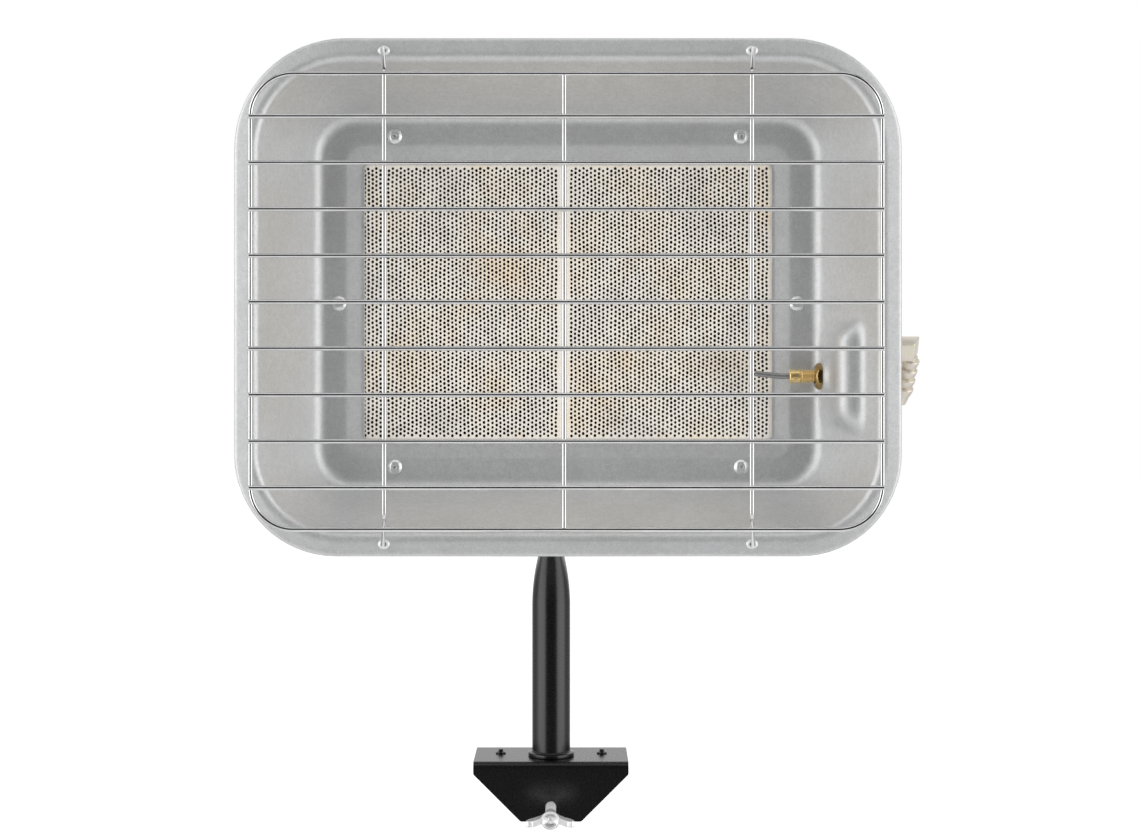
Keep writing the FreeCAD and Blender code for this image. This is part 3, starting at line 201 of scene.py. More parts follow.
def ceramic_material():
    """Dull fired ceramic with heat stains in broad patches."""
    material, tree, shader, place = new_material("ceramic_plaque")
    fine = noise(tree, place, 0.0009, 4.0, 0.6)
    stain = noise(tree, place, 0.045, 3.0, 0.5)
    warm = noise(tree, place, 0.032, 3.0, 0.5)
    body = ramp(tree, fine, [(0.3, (0.90, 0.845, 0.755)), (0.7, (0.99, 0.95, 0.88))])
    heat = ramp(tree, stain, [(0.34, (0.88, 0.895, 0.91)), (0.5, WHITE), (0.66, (1.0, 0.95, 0.87))])
    rust = ramp(tree, warm, [(0.54, WHITE), (0.74, (0.97, 0.89, 0.80))])
    tree.links.new(multiplied(tree, body, heat, rust), shader.inputs["Base Color"])
    shader.inputs["Roughness"].default_value = 0.9
    shader.inputs["Specular IOR Level"].default_value = 0.25
    bump(tree, shader, fine, 0.00003)
    return material


def cast_zinc_material():
    """Passivated zinc casting: pale, with faint rainbow tints."""
    material, tree, shader, place = new_material("cast_zinc")
    fine = noise(tree, place, 0.0008, 4.0, 0.6)
    tint = noise(tree, place, 0.006, 2.0, 0.5)
    body = ramp(tree, fine, [(0.3, (0.79, 0.76, 0.70)), (0.7, (0.88, 0.85, 0.79))])
    film = ramp(tree, tint, [(0.3, (0.97, 0.88, 0.86)), (0.45, (1.0, 0.98, 0.94)), (0.6, (1.0, 0.97, 0.9)),
                             (0.66, (0.92, 0.98, 0.76)), (0.72, (1.0, 0.95, 0.86))])
    tree.links.new(multiplied(tree, body, film), shader.inputs["Base Color"])
    tree.links.new(spread(tree, fine, 0.3, 0.4), shader.inputs["Roughness"])
    shader.inputs["Metallic"].default_value = 0.5
    bump(tree, shader, fine, 0.00001)
    return material


# Grainy ones: dark and light colour, metallic, roughness from and to, size of the grain, depth of the relief
satin_black = grainy("satin_black", grey(0.003), (0.006, 0.006, 0.0063), 0.0, (0.22, 0.3), 0.0006, 0.000006, 0.75)
zinc = grainy("bright_zinc", (0.93, 0.93, 0.935), grey(0.98), 0.42, (0.1, 0.17), 0.0008, 0.0000015)
bright_wire = grainy("bright_wire", (0.80, 0.80, 0.81), grey(0.90), 1.0, (0.07, 0.13), 0.0006, 0.000002)
alloy = grainy("rivet_alloy", (0.80, 0.81, 0.81), (0.89, 0.90, 0.90), 0.6, (0.16, 0.24), 0.0005, 0.000006)
pale_plate = grainy("pale_plate", grey(0.88), grey(0.95), 0.35, (0.25, 0.35), 0.0004, 0.000006)
brass = grainy("turned_brass", (0.86, 0.64, 0.29), (0.93, 0.71, 0.35), 0.75, (0.2, 0.28), 0.0008, 0.000002)
# The locknuts' brass is a darker copy of the turned brass: painted shade, standing in for the dark that their faces
# mirror.
nut_brass_painted_shade = grainy("nut_brass_painted_shade", (0.40, 0.265, 0.095), (0.54, 0.365, 0.15), 1.0, (0.14, 0.22), 0.0004, 0.000003)
dull_steel = grainy("probe_steel", (0.36, 0.36, 0.37), (0.54, 0.53, 0.52), 1.0, (0.35, 0.5), 0.0005, 0.00001)
copper = grainy("drawn_copper", (0.66, 0.34, 0.20), (0.82, 0.47, 0.30), 1.0, (0.25, 0.38), 0.0005, 0.000008)
rubber = grainy("seal_rubber", grey(0.02), grey(0.04), 0.0, (0.6, 0.75), 0.0005, 0.00001)
red_plastic = grainy("button_plastic", (0.42, 0.018, 0.016), (0.52, 0.026, 0.022), 0.0, (0.3, 0.4), 0.0003, 0.000006)
fibre = grainy("mineral_fibre", (0.62, 0.60, 0.55), (0.80, 0.78, 0.72), 0.0, (0.9, 0.98), 0.0008, 0.0001)
# Darker ceramic for the holes' walls and blind ends: painted shade, standing in for the dark of deep holes that run
# on into the plenum.
bore_painted_shade = grainy("plaque_bore_painted_shade", (0.30, 0.235, 0.18), (0.46, 0.37, 0.29), 0.0, (0.85, 0.95), 0.0009, 0.00002)
galvanised = galvanised_material()
ceramic = ceramic_material()
cast_zinc = cast_zinc_material()

SLOT_MATERIALS = {
    "black_paint": satin_black,
    "zinc_plate": zinc,
    "galvanised": galvanised,
    "rivet_alloy": alloy,
    "bright_wire": bright_wire,
    "retainer_white": pale_plate,
    "ceramic": ceramic,
    "fibre": fibre,
    "brass": brass,
    "probe_steel": dull_steel,
    "copper_lead": copper,
    "seal_rubber": rubber,
    "button_plastic": red_plastic,
}

SLOT_OF = {part["node"]: part["material_slot"] for part in frame["record"]["subparts"]}
for name, obj in nodes.items():
    obj.data.materials.clear()
    obj.data.materials.append(SLOT_MATERIALS[SLOT_OF[name]])


# Meshes

def shown(name, data):
    """A new object in the scene."""
    obj = bpy.data.objects.new(name, data)
    bpy.context.scene.collection.objects.link(obj)
    return obj


def new_piece(name, verts, faces, material, body, slot, stands_for=(), smooth=True):
    """A mesh piece, in metres, that rides on a body and may stand for nodes of the solid model."""
    mesh = bpy.data.meshes.new(name)
    mesh.from_pydata([tuple(v) for v in verts], [], faces)
    mesh.validate()
    if smooth:
        mesh.shade_smooth()
    mesh.materials.append(material)
    obj = shown(name, mesh)
    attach(obj, body)
    if stands_for:
        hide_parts(*stands_for)
    return obj


def wound(rows, sides, closed=False):
    """Faces between rows of points, each row a ring of so many sides."""
    faces = []
    for i in range(rows if closed else rows - 1):
        j = (i + 1) % rows
        for k in range(sides):
            n = (k + 1) % sides
            faces.append((i * sides + k, i * sides + n, j * sides + n, j * sides + k))
    return faces


def joined(parts):
    """Several (vertices, faces) as one."""
    verts, faces = [], []
    for part_verts, part_faces in parts:
        base = len(verts)
        verts += part_verts
        faces += [tuple(base + i for i in face) for face in part_faces]
    return verts, faces


def arc_path(points, radii, step=math.radians(6), closed=False):
    """Points along straight runs with an arc at each corner."""
    path = []
    count = len(points)
    for i, point in enumerate(points):
        if radii[i] == 0 or (not closed and i in (0, count - 1)):
            path.append(point)
            continue
        back = (points[i - 1] - point).normalized()
        ahead = (points[(i + 1) % count] - point).normalized()
        half = back.angle(ahead) / 2
        reach = radii[i] / math.tan(half)
        centre = point + (back + ahead).normalized() * (radii[i] / math.sin(half))
        start = point + back * reach - centre
        turn = math.pi - 2 * half
        axis = start.cross(point + ahead * reach - centre).normalized()
        steps = max(2, math.ceil(turn / step))
        for k in range(steps + 1):
            path.append(centre + Matrix.Rotation(turn * k / steps, 3, axis) @ start)
    return path


def tube(path, radius, sides, closed=False, rounded=0.0):
    """Round wire along a path in metres, with domed ends where rounded is above 0."""
    path = [Vector(p) for p in path]
    count = len(path)
    side = (path[1] - path[0]).normalized().orthogonal().normalized()
    rings = []
    for i, point in enumerate(path):
        before = path[i - 1] if closed or i else point
        after = path[(i + 1) % count] if closed or i < count - 1 else point
        heading = (after - before).normalized()
        side = (side - heading * side.dot(heading)).normalized()
        rings.append((point, side.copy(), heading.cross(side), radius))
    if not closed and rounded:
        for end, sign in ((0, -1), (-1, 1)):
            point, u, v, r = rings[end]
            heading = u.cross(v) * sign
            caps = []
            for k in (1, 2, 3):
                a = math.radians(27 * k)
                caps.append((point + heading * rounded * math.sin(a), u, v, r * math.cos(a)))
            rings = caps[::-1] + rings if end == 0 else rings + caps
    verts = []
    for point, u, v, r in rings:
        for k in range(sides):
            a = 2 * math.pi * k / sides
            verts.append(point + u * (r * math.cos(a)) + v * (r * math.sin(a)))
    total = len(rings)
    faces = wound(total, sides, closed)
    if not closed:
        faces.append(tuple(range(sides))[::-1])
        faces.append(tuple((total - 1) * sides + k for k in range(sides)))
    return verts, faces


def lathe(profile, base, axis, sides=40, squeeze=None):
    """Turned form: profile is (radius, distance along the axis) in millimetres, base a point in metres."""
    axis = Vector(axis).normalized()
    u = axis.orthogonal().normalized()
    v = axis.cross(u)
    verts = []
    for r, along in profile:
        for k in range(sides):
            a = 2 * math.pi * k / sides
            spot = (u * math.cos(a) + v * math.sin(a)) * (max(r, 0.001) * MM)
            if squeeze:
                spot = Vector([spot[i] * squeeze[i] for i in range(3)])
            verts.append(base + axis * (along * MM) + spot)
    return verts, wound(len(profile), sides)


GROOVE_SLOPE, GROOVE_CREST = 1.6, 0.3


def threaded(stations, pitch, depth, thread, place, sides):
    """Turned form cut by a helical thread between two stations: place gives a point for (along, radius, angle)."""
    verts = []
    for along, radius in stations:
        for k in range(sides):
            cut = 0.0
            if thread[0] < along < thread[1]:
                turn = (along / pitch + k / sides) % 1.0
                groove = min(1.0, max(0.0, GROOVE_SLOPE * abs(2 * turn - 1) - GROOVE_CREST))
                cut = depth * groove * min(1.0, along - thread[0], thread[1] - along)
            verts.append(place(along, radius - cut, 2 * math.pi * k / sides))
    return verts, wound(len(stations), sides)


# Reflector: one drawn skin, with the boss and the thermocouple pad blended into its right wall

# Folds of the sheet from the rim's lip to the burner's opening: depth, corner radius, bend radius,
# and how many steps are on the way there and in the bend
LIP_DEPTH, RIM_TILT, LEDGE_DEPTH = 5.6, 1.9, 59.5
STEP_OUT, STEP_IN = 10.6, 1.6
DEPTHS = [LIP_DEPTH, RIM_TILT, 0.0, BOWL_DEPTH, BOWL_DEPTH, LEDGE_DEPTH, LEDGE_DEPTH]
CORNERS = [59.0, 59.0, 47.8, 24.0, 11.0, 6.5, 3.0]
FOLDS = [0, 1.8, 5.0, 9.0, 12.0, 6.0, 0]
COUNTS = [None, (1, 7), (6, 8), (46, 12), (8, 5), (2, 5), (3, 0)]

# Half sizes of rim, flange's inner edge, floor and opening: wide is along X, tall is along Z
RIM_WIDE, FLANGE_WIDE, FLOOR_WIDE, OPEN_WIDE = 177.5, 165.8, 141.2, 114.6
RIM_TALL, FLANGE_TALL, FLOOR_TALL, OPEN_TALL = 137.5, 125.8, 104.2, 77.8

# The lower corners are tighter, and the lower edge is dropped over a run from the floor to the rim
LOWER_CORNER, LOWER_DROP, LOWER_RUN = 0.92, 0.7, 33.0
CORNER_STEPS = 16
RING_SIDES = ((1, 1, "side", 88), (-1, 1, "level", 56), (-1, -1, "side", 56), (1, -1, "level", 56))

# Boss: where its draft starts and the length that it is measured over, its face, half height and rounding
BOSS_START, BOSS_LENGTH = 12.0, 50.0
BOSS_FACE, BOSS_FACE_DRAFT = 145.4, 2.0
BOSS_HALF, BOSS_HALF_DRAFT = 15.5, 2.5
BOSS_ROUND = 14.0
BOSS_FRONT, BOSS_FRONT_BLEND = 15.5, 10.0
PAD_FACE, PAD_RADIUS, PAD_FLARE, PAD_FLARE_COS = 140.4, 8.0, 0.45, 0.91
PAD_EDGE, PAD_BLEND, BOSS_BLEND = 1.6, 4.0, 4.5
SHEET = 0.8

# Part of the skin that the boss may lift, the heights that are tried there, and a row that lies in the flange
LIFT_X, LIFT_Z, LIFT_DEPTH = 105, (-100, 16), 2
LIFT_HEIGHTS = np.linspace(26, -0.25, 106)
FLANGE_ROW = 10


def section(points, bends, counts):
    """Bent section of the sheet as rows of reach, depth and corner radius, with an arc at each fold."""
    points = [np.array(p, float) for p in points]
    rows = []
    last = points[0]
    for i in range(1, len(points)):
        point = points[i]
        start = last
        arc = []
        if i == len(points) - 1:
            stop = point
        else:
            before = points[i - 1] - point
            after = points[i + 1] - point
            b2, a2 = before[:2] / np.linalg.norm(before[:2]), after[:2] / np.linalg.norm(after[:2])
            half = math.acos(np.clip(b2 @ a2, -1, 1)) / 2
            reach = bends[i] / math.tan(half)
            stop = point + before * (reach / np.linalg.norm(before[:2]))
            last = point + after * (reach / np.linalg.norm(after[:2]))
            centre = point[:2] + (b2 + a2) / np.linalg.norm(b2 + a2) * (bends[i] / math.sin(half))
            first, final = stop[:2] - centre, last[:2] - centre
            turn = math.atan2(first[0] * final[1] - first[1] * final[0], first @ final)
            for k in range(1, counts[i][1]):
                t = k / counts[i][1]
                c, n = math.cos(turn * t), math.sin(turn * t)
                spot = centre + np.array([c * first[0] - n * first[1], n * first[0] + c * first[1]])
                arc.append(np.array([*spot, stop[2] + (last[2] - stop[2]) * t]))
        steps = counts[i][0]
        rows += [start + (stop - start) * k / steps for k in range(steps)]
        rows.append(stop)
        rows += arc
    return np.array(rows)


def wall_section(rim, flange, floor, opening):
    """Section through one wall of the bowl, from the four half sizes."""
    reach = [rim, rim, flange, floor, opening + STEP_OUT, opening + STEP_IN, opening]
    return section(list(zip(reach, DEPTHS, CORNERS)), FOLDS, COUNTS)


def ring_points(wide, tall):
    """Points round one row of the skin: wide is its row of the side section, tall that of the top section."""
    w, upper, upper_r = wide[0], tall[0], (wide[2] + tall[2]) / 2
    lower = upper + LOWER_DROP * min(max((upper - FLOOR_TALL) / LOWER_RUN, 0.0), 1.0)
    lower_r = upper_r * LOWER_CORNER
    low, high = lower_r - lower, upper - upper_r
    spots = []
    for sx, sz, first, count in RING_SIDES:
        up = sx > 0 if first == "side" else sz > 0
        h, r = (upper, upper_r) if up else (lower, lower_r)
        for k in range(count):
            t = k / count
            if first == "side":
                spots.append((sx * w, wide[1], low + (high - low) * t if up else high + (low - high) * t))
            else:
                spots.append((sz * (1 - 2 * t) * (w - r), tall[1], sz * h))
        for k in range(CORNER_STEPS):
            a = math.pi / 2 * k / CORNER_STEPS
            c, n = math.cos(a), math.sin(a)
            blend = k / CORNER_STEPS
            if first == "side":
                depth = wide[1] + (tall[1] - wide[1]) * blend
                spots.append((sx * (w - r + r * c), depth, sx * (h - r + r * n)))
            else:
                depth = tall[1] + (wide[1] - tall[1]) * blend
                spots.append((-sz * (w - r + r * n), depth, sz * (h - r + r * c)))
    return spots


def smooth_low(a, b, k):
    """Lower of two distances with a soft join."""
    h = np.maximum(k - np.abs(a - b), 0) / k
    return np.minimum(a, b) - h * h * k / 4


def smooth_high(a, b, k):
    """Higher of two distances with a soft join."""
    return -smooth_low(-a, -b, k)


def boss_distance(x, depth, z):
    """Distance from the pressed boss and its pad, negative inside them."""
    along = (depth - BOSS_START) / BOSS_LENGTH
    q = np.stack([BOSS_FACE - BOSS_FACE_DRAFT * along + BOSS_ROUND - x,
                  np.abs(z - SENSOR_Z) - (BOSS_HALF + BOSS_HALF_DRAFT * along)])
    body = np.linalg.norm(np.maximum(q, 0), axis=0) + np.minimum(q.max(axis=0), 0) - BOSS_ROUND
    boss = smooth_high(body, BOSS_FRONT - depth, BOSS_FRONT_BLEND)
    around = np.hypot(depth - SENSOR_DEPTH, z - SENSOR_Z)
    flare = (around - PAD_RADIUS - PAD_FLARE * (x - PAD_FACE)) * PAD_FLARE_COS
    return smooth_low(boss, smooth_high(flare, PAD_FACE - x, PAD_EDGE), PAD_BLEND)


def pressed(skin):
    """The skin lifted along its normals to where boss and pad stand out of the right wall."""
    across = np.roll(skin, -1, axis=1) - np.roll(skin, 1, axis=1)
    normal = np.cross(across, np.gradient(skin, axis=0))
    normal /= np.linalg.norm(normal, axis=2)[:, :, None]
    if normal[FLANGE_ROW, 0, 1] > 0:
        normal = -normal
    x, depth, z = skin[:, :, 0], skin[:, :, 1], skin[:, :, 2]
    near = (x > LIFT_X) & (z > LIFT_Z[0]) & (z < LIFT_Z[1]) & (depth > LIFT_DEPTH)
    spots, ways = skin[near], normal[near]
    values = []
    for height in LIFT_HEIGHTS:
        q = spots + ways * height
        values.append(smooth_low(np.full(len(q), height), boss_distance(q[:, 0], q[:, 1], q[:, 2]), BOSS_BLEND))
    values = np.array(values)
    hit = np.argmax(values <= 0, axis=0)
    hit = np.where((values <= 0).any(axis=0), hit, len(LIFT_HEIGHTS) - 1)
    hit = np.maximum(hit, 1)
    column = np.arange(len(spots))
    above, below = values[hit - 1, column], values[hit, column]
    share = above / np.maximum(above - below, 1e-9)
    upper, lower = LIFT_HEIGHTS[hit - 1], LIFT_HEIGHTS[hit]
    lift = upper + (lower - upper) * share
    skin[near] = spots + ways * np.maximum(lift, 0)[:, None]
    return skin


side_rows = wall_section(RIM_WIDE, FLANGE_WIDE, FLOOR_WIDE, OPEN_WIDE)
level_rows = wall_section(RIM_TALL, FLANGE_TALL, FLOOR_TALL, OPEN_TALL)
skin = pressed(np.array([ring_points(wide, tall) for wide, tall in zip(side_rows, level_rows)]))
reflector = new_piece("reflector_skin", head_path(skin.reshape(-1, 3)), wound(*skin.shape[:2]), galvanised,
                      "head", "galvanised", ("reflector",))
sheet = reflector.modifiers.new("sheet", "SOLIDIFY")
sheet.thickness = SHEET * MM
sheet.offset = -1


# Guard: a closed loop, cross bars in front of it, two bent posts with feet in the rim, and a middle post

WIRE, WIRE_SIDES = 1.2 * MM, 16
GUARD_W, GUARD_H, GUARD_R = 162.3, 117.0, 22.0
GUARD_X, GUARD_Z, GUARD_DEPTH = -0.8, -4.2, -30.0
BAR_DEPTH, BAR_REACH, BAR_PITCH, BAR_MIDDLE = -31.9, 163.0, 23.8, -4.5
BAR_Z = [(i - 4) * BAR_PITCH + BAR_MIDDLE for i in range(9)]
POST_X, POST_LOW, POST_HIGH, MIDDLE_X, MIDDLE_SHORT = 94.4, -115.0, 114.0, -2.0, 0.75
FOOT_X, FOOT_LOW, FOOT_HIGH = 97.6, -131.4, 130.4
FOOT_BACK, FOOT_FRONT = 3.5, -6.0
FOOT_BEND, POST_BEND = 4.0 * MM, 6.0 * MM
WELD_DEPTH, WELD_INSET, WELD_SIZE, WELD_LENGTH = -30.88, 0.95, 0.85, 1.4


def straight(start, end, pieces=12):
    """Path of a straight wire, with short runs at its ends so that the shading stays even."""
    start, end = head(*start), head(*end)
    short = (end - start).normalized() * (0.4 * MM)
    inner = [(start + short).lerp(end - short, k / pieces) for k in range(pieces + 1)]
    return [start, *inner, end]


def weld(place):
    """Small bead of metal squeezed out where two wires are welded, longer along X."""
    ball = bmesh.new()
    bmesh.ops.create_icosphere(ball, subdivisions=2, radius=1.0)
    size = (WELD_LENGTH, WELD_SIZE, WELD_SIZE)
    verts = [place + Vector([v.co[a] * size[a] * MM for a in range(3)]) for v in ball.verts]
    faces = [tuple(v.index for v in f.verts) for f in ball.faces]
    ball.free()
    return verts, faces


def wire_piece(name, parts, *stands_for):
    """Bright wires as one piece of the head."""
    return new_piece(name, *joined(parts), bright_wire, "head", "bright_wire", stands_for)


corners = [(sx * GUARD_W + GUARD_X, GUARD_DEPTH, sz * GUARD_H + GUARD_Z)
           for sx, sz in ((1, -1), (1, 1), (-1, 1), (-1, -1))]
loop = arc_path(head_path(corners), [GUARD_R * MM] * 4, math.radians(5), closed=True)
wire_piece("guard_loop", [tube(loop, WIRE, WIRE_SIDES, closed=True)], "guard_rim_wire")

bars, beads = [], []
for z in BAR_Z:
    path = straight((GUARD_X - BAR_REACH, BAR_DEPTH, z), (GUARD_X + BAR_REACH, BAR_DEPTH, z))
    bars.append(tube(path, WIRE, WIRE_SIDES, rounded=0.3 * MM))
    for x in (-POST_X, MIDDLE_X, POST_X, GUARD_X - GUARD_W, GUARD_X + GUARD_W):
        beads.append(weld(head(x, WELD_DEPTH, z)))
for sz in (-1, 1):
    beads.append(weld(head(MIDDLE_X, GUARD_DEPTH, GUARD_Z + sz * (GUARD_H - WELD_INSET))))
wire_piece("guard_bars", bars, "guard_cross_wires")

posts = []
for sx in (-1, 1):
    path = [(sx * FOOT_X, FOOT_BACK, FOOT_HIGH), (sx * FOOT_X, FOOT_FRONT, FOOT_HIGH)]
    path += [(sx * POST_X, GUARD_DEPTH, POST_HIGH), (sx * POST_X, GUARD_DEPTH, POST_LOW)]
    path += [(sx * FOOT_X, FOOT_FRONT, FOOT_LOW), (sx * FOOT_X, FOOT_BACK, FOOT_LOW)]
    bends = [0, FOOT_BEND, POST_BEND, POST_BEND, FOOT_BEND, 0]
    posts.append(tube(arc_path(head_path(path), bends), WIRE, WIRE_SIDES))
middle = straight((MIDDLE_X, GUARD_DEPTH, GUARD_Z - GUARD_H + MIDDLE_SHORT),
                  (MIDDLE_X, GUARD_DEPTH, GUARD_Z + GUARD_H - MIDDLE_SHORT))
posts.append(tube(middle, WIRE, WIRE_SIDES))
wire_piece("guard_posts", posts, "guard_upright_wires")
wire_piece("guard_welds", beads)


# Blind rivets, the guard's push-on caps and the collar at the tube's foot

FORWARD = (0, -1, 0)
RIVET = [(0, -1.1), (0.6, -1.1), (0.72, -0.4), (0.8, 1.2), (0.95, 1.42), (1.5, 1.42), (2.1, 1.32), (2.7, 1.12),
         (3.3, 0.83), (3.8, 0.5), (4.15, 0.24), (4.3, 0.1), (4.25, 0.0), (2.0, 0.0), (2.0, -1.8), (2.7, -1.85),
         (3.0, -2.2), (3.0, -3.6), (2.7, -4.3), (2.0, -4.7), (1.3, -4.8), (1.2, -5.2), (0, -5.2)]
RIVET_PLACES = [(-97.4, 93.0), (97.4, 93.0), (-97.4, -93.0), (97.4, -93.0), (-128.7, -1.0), (128.7, -1.0)]
rivets = [lathe(RIVET, head(x, BOWL_DEPTH, z), FORWARD) for x, z in RIVET_PLACES]
new_piece("bowl_rivets", *joined(rivets), alloy, "head", "rivet_alloy", ("burner_rivets",))

CAP = [(1.22, 0.0), (1.22, 0.9), (1.4, 1.3), (1.7, 1.45), (2.3, 1.3), (2.9, 0.9), (3.25, 0.4), (3.3, 0.1), (3.2, 0.0)]
CAP_DEPTH, CAP_SQUEEZE = 0.7, (1.0, 1.0, 0.8)
caps = [lathe(CAP, head(x, CAP_DEPTH, z), FORWARD, squeeze=CAP_SQUEEZE)
        for x in (-FOOT_X, FOOT_X) for z in (FOOT_LOW, FOOT_HIGH)]
new_piece("guard_caps", *joined(caps), pale_plate, "head", "retainer_white", ("guard_retainers",))

COLLAR = [(10.95, 0.0), (12.9, 0.0), (13.15, 0.2), (13.2, 0.5), (13.2, 1.75), (13.1, 2.1), (12.85, 2.25),
          (11.7, 2.4), (11.3, 2.7), (11.05, 3.4), (10.95, 3.4)]
foot = lathe(COLLAR, Vector((0, TUBE_Y, BRACKET_TOP)) * MM, (0, 0, 1), 96)
new_piece("foot_collar", *foot, satin_black, "stand", "black_paint", ("tube_flange",))


# Wing screw: a cast head with its edges worn round, and a shank with a helical thread

HUB = [(0, 0), (3.5, 0), (3.6, 1.0), (3.7, 4.0), (4.2, 8.0), (5.0, 10.6), (5.25, 11.6), (5.15, 12.4), (4.7, 12.8),
       (4.1, 12.7), (3.8, 12.2), (3.7, 11.4), (3.7, 9.0), (0, 9.0)]
HUB_Y = -62.4
WING_PLAN = [(1.2, -61.5), (3.6, -63.5), (5.6, -68.5), (8.6, -73.0), (11.8, -77.0), (13.4, -80.5), (13.3, -82.6),
             (11.8, -83.6), (9.4, -82.8), (7.0, -79.6), (4.4, -75.4), (1.2, -73.0)]
WING_HALF = 1.75
CAST_VOXEL, CAST_ROUNDS = 0.2, 26
SHANK_R, SHANK_PITCH, SHANK_CUT, SHANK_THREAD = 3.0, 1.0, 0.5, (-58.0, -28.0)
SHANK_START, SHANK_STEP, SHANK_STEPS = -65.4, 0.2, 188
SHANK_HEAD = [(-73.7, 0.001), (-73.65, 0.6), (-73.45, 1.2), (-73.1, 1.8), (-72.6, 2.3), (-72.0, 2.55),
              (-66.0, 2.55), (-65.5, SHANK_R)]
SHANK_TIP = [(-27.5, 2.8), (-27.0, 2.3), (-26.9, 2.2), (-25.2, 2.2), (-25.2, 0.001)]


def flat_prism(plan, low, high):
    """Closed prism over a plan of (x, y)."""
    count = len(plan)
    verts = [Vector((x, y, z)) * MM for z in (low, high) for x, y in plan]
    faces = [tuple(range(count))[::-1], tuple(range(count, 2 * count))]
    faces += [(k, (k + 1) % count, count + (k + 1) % count, count + k) for k in range(count)]
    return verts, faces


def on_screw(along, radius, angle):
    """Point round the clamp screw's axis, which lies along Y."""
    return Vector((radius * math.sin(angle), along, radius * math.cos(angle))) * MM


cast = [lathe(HUB, Vector((0, HUB_Y, 0)) * MM, FORWARD, 64)]
cast.append(flat_prism(WING_PLAN[::-1], -WING_HALF, WING_HALF))
cast.append(flat_prism([(-x, y) for x, y in WING_PLAN], -WING_HALF, WING_HALF))
wing = new_piece("wing_casting", *joined(cast), zinc, "clamp_screw", "zinc_plate", ("clamp_wing",))
even = wing.modifiers.new("even", "REMESH")
even.mode = "VOXEL"
even.voxel_size = CAST_VOXEL * MM
even.use_smooth_shade = True
worn = wing.modifiers.new("worn", "SMOOTH")
worn.factor = 0.5
worn.iterations = CAST_ROUNDS

shank = SHANK_HEAD + [(SHANK_START + SHANK_STEP * k, SHANK_R) for k in range(SHANK_STEPS)] + SHANK_TIP
new_piece("clamp_shank", *threaded(shank, SHANK_PITCH, SHANK_CUT, SHANK_THREAD, on_screw, 32), zinc, "clamp_screw",
          "zinc_plate", ("clamp_screw",))


# Hose elbow: a wedge-shaped block with rounded edges, its arm, and a barbed nozzle that leans down and back

ELBOW_PLACE = Matrix.Translation(HEAD + np.array([198.2, 88.0, -25.8]))
ELBOW_LEAN = math.radians(28)
BLOCK_PLAN, BLOCK_HALF, BLOCK_EDGE = [(-7.5, -5.4), (1.6, -5.4), (5.9, 5.4), (-7.5, 5.4)], 5.7, 0.8
NOZZLE_OUT, NOZZLE_LEAN, NOZZLE_NECK = 1.6, math.radians(6), 3.8
BARB_COUNT, BARB_FIRST, BARB_PITCH = 4, -6.8, 6.1
BARB = [(NOZZLE_NECK, 0.0), (4.8, 0.1), (5.15, -0.1), (5.3, -0.5), (5.25, -1.2), (4.8, -3.2), (4.1, -5.0),
        (NOZZLE_NECK, -5.5)]
TIP = [(3.4, -32.4), (2.9, -34.6), (2.65, -35.7), (2.45, -36.0), (2.3, -36.0), (2.2, -35.4), (2.2, -20.0),
       (0.001, -20.0)]
ARM = [(0.001, 0.0), (4.7, 0.0), (4.7, 10.2), (5.2, 10.7), (7.0, 10.7), (7.0, 12.7), (2.4, 12.7), (2.4, 6.0),
       (0.001, 6.0)]


def moved(part, matrix):
    """A form in millimetres put in its place by a matrix in millimetres, in metres."""
    return [(matrix @ Vector(v)) * MM for v in part[0]], part[1]


def edged_prism(plan, low, high, edge):
    """Prism over a plan with its edges rounded, in millimetres, in an order that is the same each run."""
    form = bmesh.new()
    ring = [form.verts.new((x, y, low)) for x, y in plan]
    face = form.faces.new(ring)
    top = bmesh.ops.extrude_face_region(form, geom=[face])["geom"]
    raised = [v for v in top if isinstance(v, bmesh.types.BMVert)]
    bmesh.ops.translate(form, vec=(0, 0, high - low), verts=raised)
    bmesh.ops.recalc_face_normals(form, faces=form.faces[:])
    bmesh.ops.bevel(form, geom=form.edges[:], offset=edge, segments=3, profile=0.5, affect="EDGES")
    verts = sorted(form.verts, key=lambda v: tuple(round(c, 4) for c in v.co))
    number = {v: i for i, v in enumerate(verts)}
    rings = [[number[v] for v in f.verts] for f in form.faces]
    starts = [ring.index(min(ring)) for ring in rings]
    faces = sorted(tuple(ring[k:] + ring[:k]) for ring, k in zip(rings, starts))
    spots = [v.co.copy() for v in verts]
    form.free()
    return spots, faces


def turned(profile, sides=48):
    """Turned form round Z in millimetres: profile is (radius, height)."""
    verts, faces = lathe(profile, Vector((0, 0, 0)), (0, 0, 1), sides)
    return [v / MM for v in verts], faces


leaning = ELBOW_PLACE @ Matrix.Rotation(ELBOW_LEAN, 4, "X")
nozzle_place = leaning @ Matrix.Translation((NOZZLE_OUT, 0, 0)) @ Matrix.Rotation(NOZZLE_LEAN, 4, "Y")
arm_place = ELBOW_PLACE @ Matrix.Rotation(math.radians(-90), 4, "Y")
nozzle = [(0.001, -4.6), (NOZZLE_NECK, -4.6), (NOZZLE_NECK, BARB_FIRST)]
for i in range(BARB_COUNT):
    nozzle += [(r, BARB_FIRST - BARB_PITCH * i + along) for r, along in BARB]
nozzle += TIP
block = edged_prism(BLOCK_PLAN, -BLOCK_HALF, BLOCK_HALF, BLOCK_EDGE)
parts = [moved(block, leaning), moved(turned(nozzle[::-1]), nozzle_place), moved(turned(ARM), arm_place)]
elbow = new_piece("elbow_casting", *joined(parts), cast_zinc, "head", "zinc_plate", ("hose_elbow",))
elbow.data.set_sharp_from_angle(angle=math.radians(50))


# Brass locknuts: six-sided with a cone turned on the outer face

